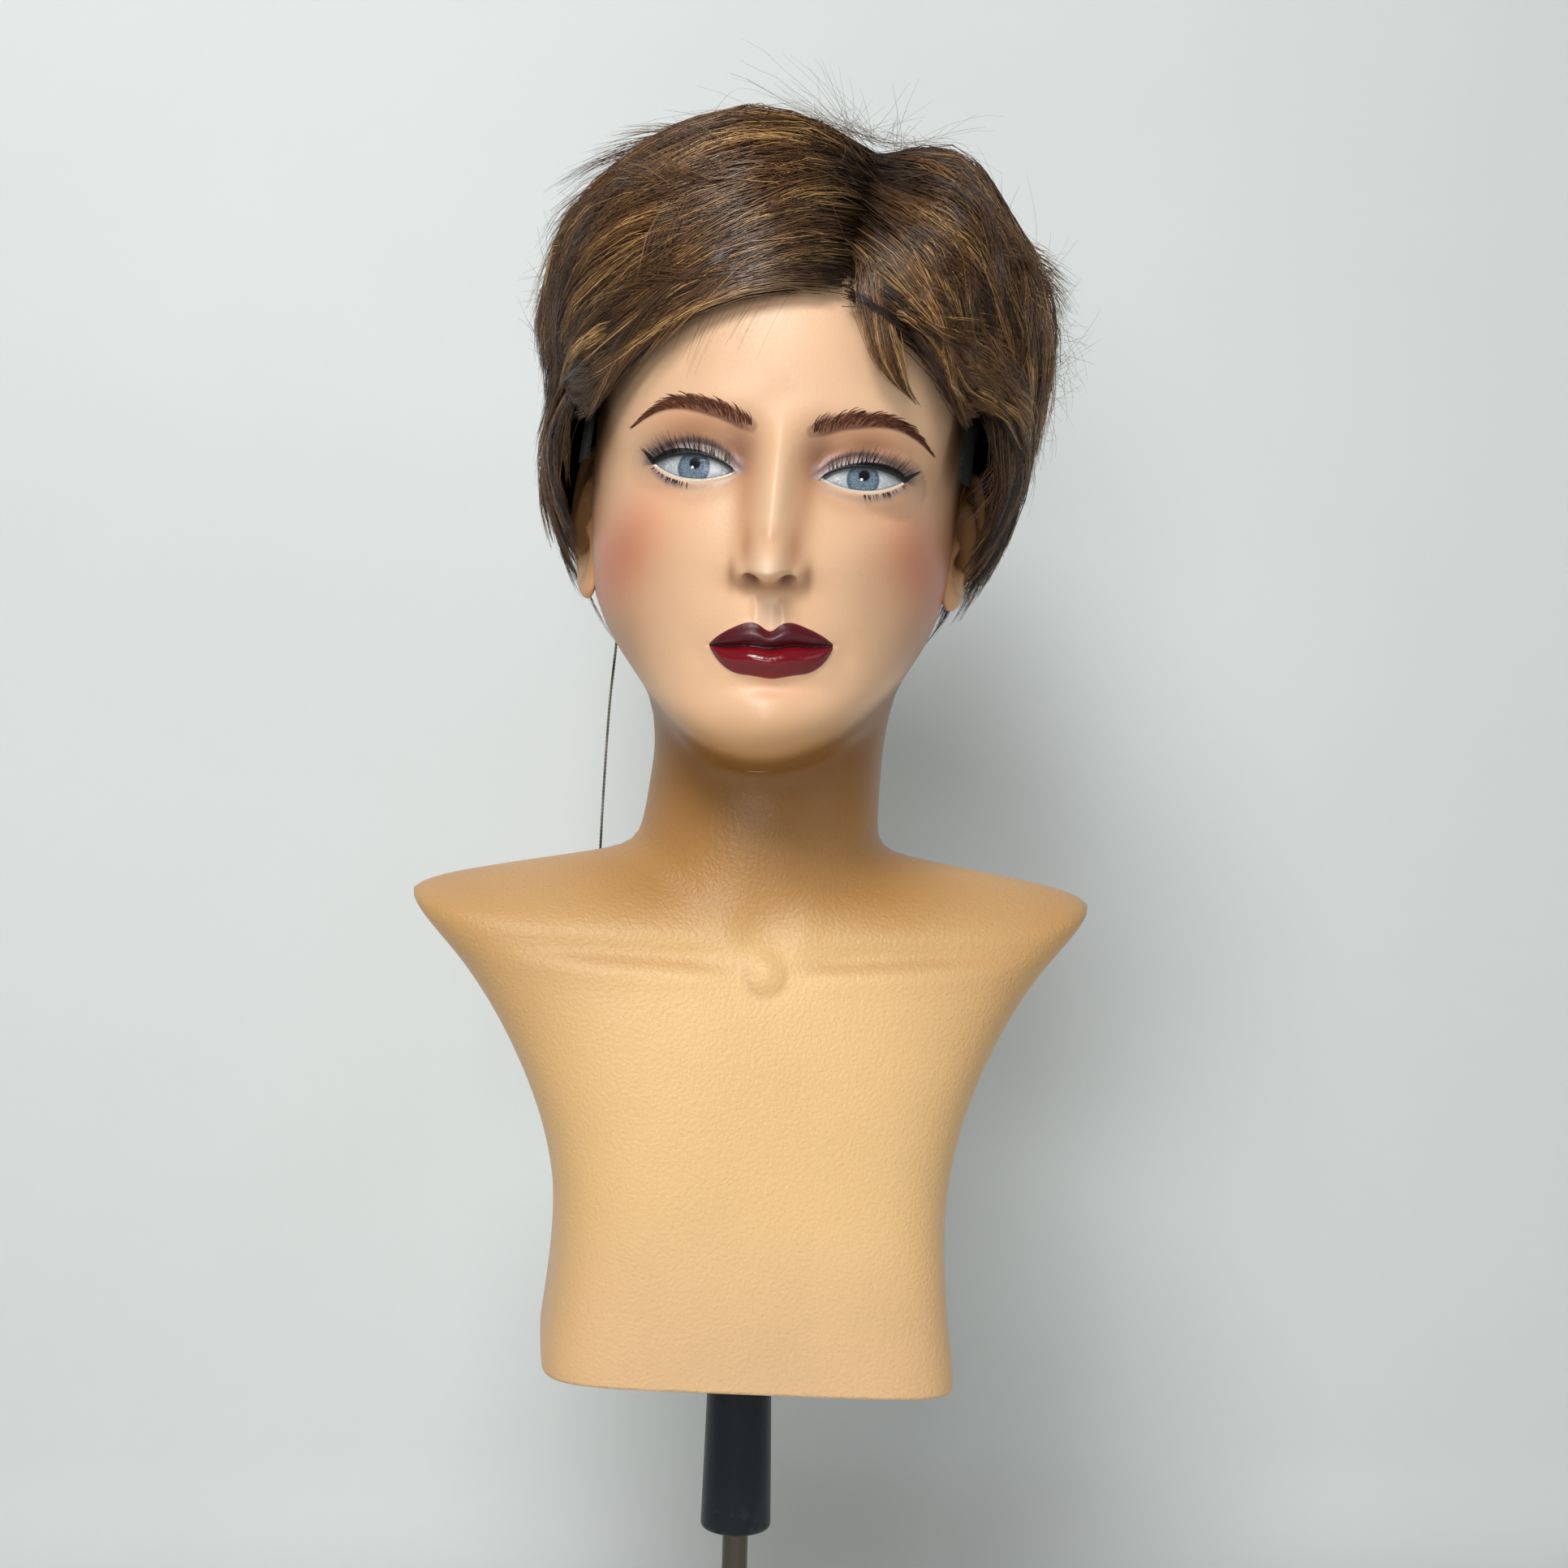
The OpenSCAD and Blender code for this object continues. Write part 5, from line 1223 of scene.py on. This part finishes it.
def curl_flow(a, s):
    """The front lock on the right: from the parting's front end down beside the brow, its tip turned out."""
    spread = (a - 0.5)[..., None] * np.array([9.0, -4.0])
    p0, p1 = PART_END + np.array([1.0, -2]), np.array([22.0, 68])
    p2, p3 = np.array([28.0, 86]), np.array([47.0, 80])
    return cubic(p0, p1, p2, p3, s) + spread * (smooth(0, 0.3, s) * (1.15 - smooth(0.5, 1.1, s)))[..., None]


def lock_strands(rng, flow, locks, per_lock, width, span, depth, a_range, start, flick=0.0, wild=1.0):
    """Strands in locks along a flow. Each lock has its own place, length, depth, bend and tone; its strands
    spread over width at the root, lie in a low dome, draw together at the tip and wave a little; flick turns
    the tips outwards. Returns paths, radii, tones and places along the flow."""
    n = locks * per_lock
    lock = np.repeat(np.arange(locks), per_lock)
    place = (np.arange(locks) + rng.uniform(0, 1, locks)) / locks
    rng.shuffle(place)
    centre = a_range[0] + (a_range[1] - a_range[0]) * place
    s0 = start[0] + (start[1] - start[0]) * rng.uniform(0, 1, locks)
    reach = rng.uniform(span[0], span[1], locks)
    s1 = np.minimum(s0 + reach, rng.uniform(0.94, 1.05, locks))
    s0 = np.where(s1 > 0.95, np.maximum(s1 - reach, start[0]), s0)
    top = rng.uniform(depth[0], depth[1], locks)
    phase, tone = rng.uniform(0, 6.28, locks), rng.normal(0, 1, locks)
    bend = rng.normal(0, 0.9 * wild, locks)
    turn_out = flick * rng.uniform(0, 1, locks) ** 1.5
    across = rng.normal(0, 0.5, n)
    t = np.linspace(0, 1, STEPS)[None]
    length = rng.uniform(0.74, 1.04, n)
    a = (centre[lock] + width * across)[:, None] - width * across[:, None] * 0.65 * t ** 1.6
    a = a + width * (0.35 * wild * np.sin(phase[lock][:, None] + 5.5 * t) * t + bend[lock][:, None] * t ** 2)
    a = a + width * rng.normal(0, 0.20, n)[:, None] * np.sin(rng.uniform(0, 6.28, n)[:, None] + 9 * t)
    s = s0[lock][:, None] + ((s1 - s0)[lock] * length)[:, None] * t
    early = (s0[lock] < 0.10)[:, None]
    lift = np.where(early, 0.62 + 0.38 * smooth(0, 0.22, t), 0.25 + 0.75 * smooth(0, 0.30, t))
    valley = 0.70 + 0.30 * smooth(0.0, 0.10, s)
    high = (top[lock] + rng.normal(0, 0.045, n))[:, None] * lift * valley
    high = high - 0.16 * (across[:, None]) ** 2 * (1 - 0.5 * t) + 0.035 * np.sin(phase[lock][:, None] + 7 * t)
    flicked = (turn_out[lock] * rng.uniform(0.6, 1.1, n))[:, None] * smooth(0.6, 1.0, t) ** 1.3
    high = np.minimum(high, 1.05) + flicked
    high = high - 0.22 * (1 - flick) * smooth(0.75, 1.0, t) * (s1[lock][:, None] > 0.93)
    flat = flow(a, s)
    astray = rng.normal(0, 1.7, n)[:, None] * (1 - smooth(0, 0.25, s))
    paths = on_wig(flat[..., 0] + astray, flat[..., 1], high)
    radii = rng.uniform(0.12, 0.19, n)[:, None] * (1 - 0.78 * t ** 3)
    # locks that lie deeper in the hair get a darker tone: painted shade
    shade = 1.5 * smooth(0.92, 0.62, top)[lock]
    return paths, radii, tone[lock] * 1.05 + rng.normal(0, 0.95, n) - shade, s


STEPS = 8
DARK_HAIR, MID_HAIR = linear(34, 23, 16), linear(84, 56, 34)
WARM_HAIR, PALE_HAIR = linear(136, 94, 54), linear(216, 172, 112)


def strand_colours(tones, roots):
    """Colour along each strand: dark at its root, then brown, caramel or pale by its own tone."""
    t = np.linspace(0, 1, STEPS)[None, :, None]
    v = smooth(-2.0, 2.0, tones)[:, None, None]
    body = MID_HAIR * (1 - v) + WARM_HAIR * v
    body = body + (PALE_HAIR - body) * smooth(0.9, 2.6, tones)[:, None, None]
    body = body + (DARK_HAIR - body) * 0.85 * smooth(-0.4, -1.9, tones)[:, None, None]
    shade = 1 - roots[:, None, None] * (1 - smooth(0.0, 0.40, t))
    return DARK_HAIR * (1 - shade) + body * shade


def make_strands(name, paths, radii, tones, roots, material):
    """Thin closed three-sided tubes, coloured along each by its tone and how dark its root is."""
    points, faces = tubes(paths, radii)
    piece = make_piece(name, points, faces, "wig", material)
    colours = strand_colours(tones, roots)
    set_colours(piece.data, "tint", np.repeat(colours.reshape(-1, 3), 3, 0))


def hair_material():
    """Glossy fibre: tint from the mesh, changed a little by noise."""
    material, tree = new_material("hair_fibre")
    value = scaled(tree, noise(tree, object_place(tree), 90), 0.9, 0.60)
    return finished(material, tinted(tree, attribute(tree, "tint", "Color"), value), 0.33, 0.55)


def under_material():
    """Dark tangle seen between the locks: painted shade, darker than the locks' own colour."""
    material, tree = new_material("hair_tangle_shade")
    colour = layered(tree, linear(18, 12, 8), (noise(tree, object_place(tree), 260, 6), linear(52, 36, 24)))
    return finished(material, colour, 0.9, 0.05)


def make_under_hair():
    """Closed dark shell under the locks, painted shade between them, from the lower edge to the crown; it
    sinks towards the edge and along the parting."""
    az = np.arange(-180, 180, 3.0)
    edge = edge_place(az, 7.0)
    rim = np.hypot(edge[:, 0], edge[:, 1])
    v = np.linspace(0, 1, 40)[:, None]
    rho = (rim[None] - 1.5) * (1 - v) + 0.4 * v
    p, q = rho * np.sin(np.radians(az)), rho * np.cos(np.radians(az))
    along = np.clip((PART_END[1] - q) / (PART_END[1] - WHORL[1]), 0, 1)
    near = np.hypot(p - PART_END[0] + along, (q - (PART_END[1] - along * (PART_END[1] - WHORL[1]))) * 1.0)
    depth = 0.50 * smooth(0, 0.22, v) * (0.55 + 0.45 * smooth(2, 18, near)) + 0.03
    outer = on_wig(p, q, depth)
    inner = on_wig(p[::3], q[::3], np.zeros_like(p[::3]))
    under = make_piece("hair_under", *shell(outer, inner), "wig", under_material())
    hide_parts(*HAIR_NODES)


def stray_hairs(rng):
    """Single hairs that stand off the wig: tall ones round the whorl, shorter ones over the top and the
    sides, and fine wisps on the forehead. Each is an arc in the flat map whose depth grows to its tip."""
    t = np.linspace(0, 1, STEPS)[None]
    p, q, d0, rise, dp, dq = [], [], [], [], [], []
    for n, box, start, high, drift in (
            (85, (2, 22, -4, 42), 0.85, (0.5, 2.0), (-20, 14, -9, 9)),
            (190, (-55, 45, -15, 50), 0.92, (0.12, 0.50), (-20, 16, -8, 16)),
            (150, (-98, -55, -12, 34), 0.92, (0.15, 0.75), (-18, 8, -14, 18)),
            (190, (52, 98, -12, 34), 0.92, (0.18, 0.95), (-8, 20, -16, 18))):
        p.append(rng.uniform(box[0], box[1], n))
        q.append(rng.uniform(box[2], box[3], n))
        d0.append(np.full(n, start))
        rise.append(high[0] + (high[1] - high[0]) * rng.uniform(0, 1, n) ** 1.6)
        dp.append(rng.uniform(drift[0], drift[1], n))
        dq.append(rng.uniform(drift[2], drift[3], n))
    p, q, d0, rise, dp, dq = (np.concatenate(v)[:, None] for v in (p, q, d0, rise, dp, dq))
    n = len(p)
    curl = rng.normal(0, 2.5, (n, 1))
    paths = [on_wig(p + dp * t + curl * t ** 2, q + dq * t - curl * t * (1 - t), d0 + rise * t ** 1.15)]
    m = 60
    a = rng.uniform(-0.05, 0.30, (m, 1))
    s0 = rng.uniform(0.05, 0.35, (m, 1))
    drop = (np.array([2.0, 20.0]) * rng.uniform(0.3, 1.0, (m, 1)))[:, None]
    fall = left_flow(a + 0 * t, s0 + 0.16 * t) + drop * (t[0] ** 1.4)[None, :, None]
    paths.append(on_wig(fall[..., 0], fall[..., 1], 0.75 - 0.55 * smooth(0, 0.7, t) + 0 * a))
    paths = np.concatenate(paths)
    radii = rng.uniform(0.055, 0.085, (len(paths), 1)) * (1 - 0.6 * t ** 2)
    return paths, radii, rng.normal(-0.2, 0.9, len(paths))


def make_hair():
    """Locks of all parts of the wig, layer over layer, and loose single hairs above it."""
    make_under_hair()
    fibre = hair_material()
    rng = np.random.default_rng(7)
    # name, flow, locks, strands in each, width of a lock,
    # then the ranges of length, depth, place across and start, and flick and wildness
    groups = [
        ("left_root", left_flow, 130, 30, 0.050,
         (0.45, 0.80), (0.56, 1.02), (-0.02, 1.02), (0, 0.10), 0, 2.4),
        ("left", left_flow, 130, 30, 0.045,
         (0.26, 0.50), (0.52, 1.10), (-0.03, 1.02), (0.10, 0.68), 0.55, 3.2),
        ("fringe", left_flow, 110, 34, 0.036,
         (0.60, 0.98), (0.60, 0.98), (-0.12, 0.42), (0, 0.25), 0.25, 1.6),
        ("front_right", right_flow, 70, 40, 0.040,
         (0.40, 0.92), (0.50, 0.98), (-0.16, 0.34), (0, 0.30), 0.3, 1.6),
        ("right_root", right_flow, 130, 30, 0.055,
         (0.45, 0.80), (0.58, 1.02), (-0.08, 1.02), (0, 0.10), 0, 2.2),
        ("right", right_flow, 130, 30, 0.050,
         (0.26, 0.55), (0.52, 1.10), (-0.12, 1.02), (0.08, 0.62), 0.60, 3.2),
        ("back_left", back_flow, 130, 30, 0.022,
         (0.26, 0.55), (0.62, 1.0), (-0.02, 0.52), (0, 0.74), 0.5, 1.5),
        ("back_right", back_flow, 130, 30, 0.022,
         (0.26, 0.55), (0.62, 1.0), (0.48, 1.02), (0, 0.74), 0.5, 1.5),
        ("low_left", low_side(-1), 80, 34, 0.10,
         (0.50, 0.98), (-0.05, 0.60), (-0.10, 1.0), (0, 0.45), 0.15, 1.6),
        ("low_right", low_side(1), 80, 34, 0.10,
         (0.50, 0.98), (0.0, 0.70), (-0.05, 1.0), (0, 0.45), 0.25, 1.6),
    ]
    for name, *rest in groups:
        paths, radii, tones, s = lock_strands(rng, *rest)
        make_strands("locks_" + name, paths, radii, tones, 0.50 + 0.40 * (s[:, 0] < 0.08), fibre)
    curl = lock_strands(rng, curl_flow, 8, 40, 0.22, (0.85, 1.0), (0.60, 0.9), (0.2, 0.8), (0.0, 0.05))
    crown = lock_strands(rng, back_flow, 60, 30, 0.03, (0.10, 0.22), (0.75, 1.0), (0.0, 1.0), (0.0, 0.02))
    stray = stray_hairs(rng)
    paths, radii, tones = (np.concatenate([curl[k], crown[k], stray[k]]) for k in range(3))
    make_strands("locks_curl_and_stray", paths, radii, tones, np.full(len(paths), 0.5), fibre)


make_hair()


# ------------------------------------------------------------------ finishes of the solid parts
def woven_material(name, thread, hole, scale, depth):
    """Cloth, net or tape of crossed threads over a darker or paler ground."""
    material, tree = new_material(name)
    weave, grain = placed(tree, WEAVE, scale, depth), placed(tree, GRAIN, 0.5, 0.1)
    colour = layered(tree, hole, (weave["Mask"], thread))
    return finished(material, tinted(tree, colour, grain["Tone"]), 0.85, 0.3, weave["Normal"])


def metal_material(name, light, dark, stretch, roughness):
    """Drawn metal: noise stretched along its length changes tone and roughness, with fine bump."""
    material, tree = new_material(name)
    value = noise(tree, stretched(tree, stretch), 60, 8)
    tree.nodes["Principled BSDF"].inputs["Metallic"].default_value = 1.0
    colour, rough = layered(tree, dark, (value, light)), scaled(tree, value, 0.22, roughness - 0.11)
    return finished(material, colour, rough, normal=bumped(tree, value, 0.12, 0.0002))


def moulded_material(name, colour, roughness, worn=None, low=None, high=None):
    """Moulded plastic or rubber with a fine grain; scuffs of the worn colour gather between two heights."""
    material, tree = new_material(name)
    grain = placed(tree, GRAIN, 1.4, 0.18)
    if worn is not None:
        place = object_place(tree)
        marks = times(tree, step_mask(tree, parts(tree, place)[2], high, low),
                      step_mask(tree, noise(tree, place, 240, 5), 0.52, 0.62))
        colour = layered(tree, colour, (times(tree, marks, 0.6), worn))
    return finished(material, tinted(tree, colour, grain["Tone"]), roughness, 0.25, grain["Normal"])


def wood_material():
    """Raw board: growth lines from a wave bent by noise, stretched along X, and small pores."""
    material, tree = new_material("raw_board")
    place = stretched(tree, (0.12, 1, 1))
    wave = add(tree, "ShaderNodeTexWave", {"Vector": place, "Scale": 45, "Distortion": 5, "Detail": 3},
               wave_type="BANDS", bands_direction="Y")
    pores = noise(tree, place, 700)
    colour = layered(tree, linear(196, 158, 112), (wave.outputs["Fac"], linear(150, 108, 68)),
                     (times(tree, pores, 0.35), linear(104, 72, 44)))
    return finished(material, colour, 0.75, normal=bumped(tree, pores, 0.25, 0.0003))


def finish_solids():
    """Materials of the solid parts that stay as they are."""
    low, high = (corner[2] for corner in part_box("holder_cone"))
    cone = moulded_material("slate_satin_cone", linear(24, 30, 36), 0.42, linear(52, 57, 62), low,
                            low + 0.15 * (high - low))
    finishes = {
        metal_material("drawn_steel", linear(112, 107, 94), linear(52, 48, 38), (1, 1, 0.03), 0.34):
            "stand_tube socket_tube socket_flange",
        metal_material("plated_steel", linear(206, 204, 198), linear(150, 148, 142), (1, 1, 1), 0.3):
            "keeper_screw keeper_washer board_screws flange_screws strap_hooks",
        metal_material("turned_brass", linear(222, 184, 100), linear(176, 138, 66), (1, 1, 0.3), 0.3):
            "tube_insert",
        cone: "holder_cone",
        moulded_material("rubber_pad", linear(34, 34, 36), 0.8): "socket_pad",
        wood_material(): "base_board corner_blocks",
        woven_material("stretch_net", linear(20, 17, 15), linear(4, 4, 4), 3400.0, 0.7):
            "wig_cap ear_tab_left ear_tab_right",
        woven_material("knotted_lace", linear(64, 46, 34), linear(30, 21, 15), 5200.0, 0.5):
            "front_band parting_patch",
        woven_material("woven_elastic", linear(28, 26, 26), linear(8, 8, 8), 5200.0, 0.8):
            "strap_left strap_right",
        woven_material("sewn_wefts", linear(70, 48, 30), linear(26, 18, 12), 2600.0, 0.8): "weft_rows",
    }
    for material, names in finishes.items():
        for name in names.split():
            for place in NODES[name].material_slots:
                place.material = material


finish_solids()
make_tape()


# ------------------------------------------------------------------ floor, backdrop and lamps
def either(tree, mask, first, second, surface):
    """Mix of two shaders by a mask, into a surface socket."""
    mixed = add(tree, "ShaderNodeMixShader", {0: mask, 1: first, 2: second})
    feed(tree, surface, mixed.outputs[0])


def backdrop_material():
    """Pale cloth with faint tone changes; seen from behind it lets everything through."""
    material, tree = new_material("backdrop_cloth")
    cloudy = noise(tree, object_place(tree), 3.5, 5)
    finished(material, layered(tree, linear(230, 234, 232), (cloudy, linear(240, 244, 244))), 0.9, 0.1)
    behind = add(tree, "ShaderNodeNewGeometry").outputs["Backfacing"]
    cloth, clear = tree.nodes["Principled BSDF"], add(tree, "ShaderNodeBsdfTransparent")
    either(tree, behind, cloth.outputs[0], clear.outputs[0], tree.nodes["Material Output"].inputs["Surface"])
    return material


def make_world():
    """Soft even light, with a paler plain background to the camera and in gloss."""
    world = bpy.data.worlds.new("studio")
    world.use_nodes = True
    tree = world.node_tree
    soft = tree.nodes["Background"]
    soft.inputs["Color"].default_value = (0.93, 0.97, 1, 1)
    soft.inputs["Strength"].default_value = WORLD_LIGHT
    path = add(tree, "ShaderNodeLightPath").outputs
    pale = add(tree, "ShaderNodeBackground", {"Color": (0.95, 0.98, 1), "Strength": scaled(
        tree, path["Is Camera Ray"], 0.40, 0.22)})
    seen = math(tree, "MAXIMUM", path["Is Camera Ray"], path["Is Glossy Ray"])
    seen = math(tree, "MAXIMUM", seen, path["Is Transmission Ray"])
    either(tree, seen, soft.outputs[0], pale.outputs[0], tree.nodes["World Output"].inputs["Surface"])
    bpy.context.scene.world = world


WORLD_LIGHT = 0.13
# Lamps: place, aim, size and power
LAMPS = {
    "key": ((-0.36, -1.00, 1.30), (0, 0, 0.42), 0.45, 12.5),
    "front": ((-0.35, -1.40, 0.70), (0, 0, 0.38), 0.45, 4.5),
    "right": ((1.25, -0.9, 0.7), (0, 0, 0.40), 0.9, 2.3),
    "behind": ((0.5, 1.25, 1.25), (0, 0, 0.45), 0.8, 3.0),
}


def make_stage():
    """Floor that turns up into a cloth close behind the bust, for its soft shadow, and soft lamps."""
    low, back, radius = -2.5, 0.30, 0.05
    a = np.linspace(0, pi / 2, 9)
    profile = np.stack([np.concatenate([[low, -0.3], back - radius + radius * np.sin(a), [back]]),
                        np.concatenate([[0, 0], radius - radius * np.cos(a), [2.6]])], -1)
    n = len(profile)
    points = [(x, y, z) for x in (-2.5, 2.5) for y, z in profile.tolist()]
    mesh = bpy.data.meshes.new("studio_sweep")
    mesh.from_pydata(points, [], [(i, n + i, n + i + 1, i + 1) for i in range(n - 1)])
    mesh.polygons.foreach_set("use_smooth", [True] * (n - 1))
    sweep = bpy.data.objects.new("studio_sweep", mesh)
    mesh.materials.append(backdrop_material())
    bpy.context.scene.collection.objects.link(sweep)
    for name, (place, aim, size, power) in LAMPS.items():
        light = bpy.data.lights.new(name, "AREA")
        light.size = size
        light.energy = power
        lamp = bpy.data.objects.new(name, light)
        lamp.location = place
        lamp.rotation_mode = "QUATERNION"
        lamp.rotation_quaternion = (Vector(aim) - Vector(place)).to_track_quat("-Z", "Y")
        lamp.visible_camera = False
        bpy.context.scene.collection.objects.link(lamp)
    make_world()
    bpy.context.scene.view_settings.view_transform = "Standard"


make_stage()
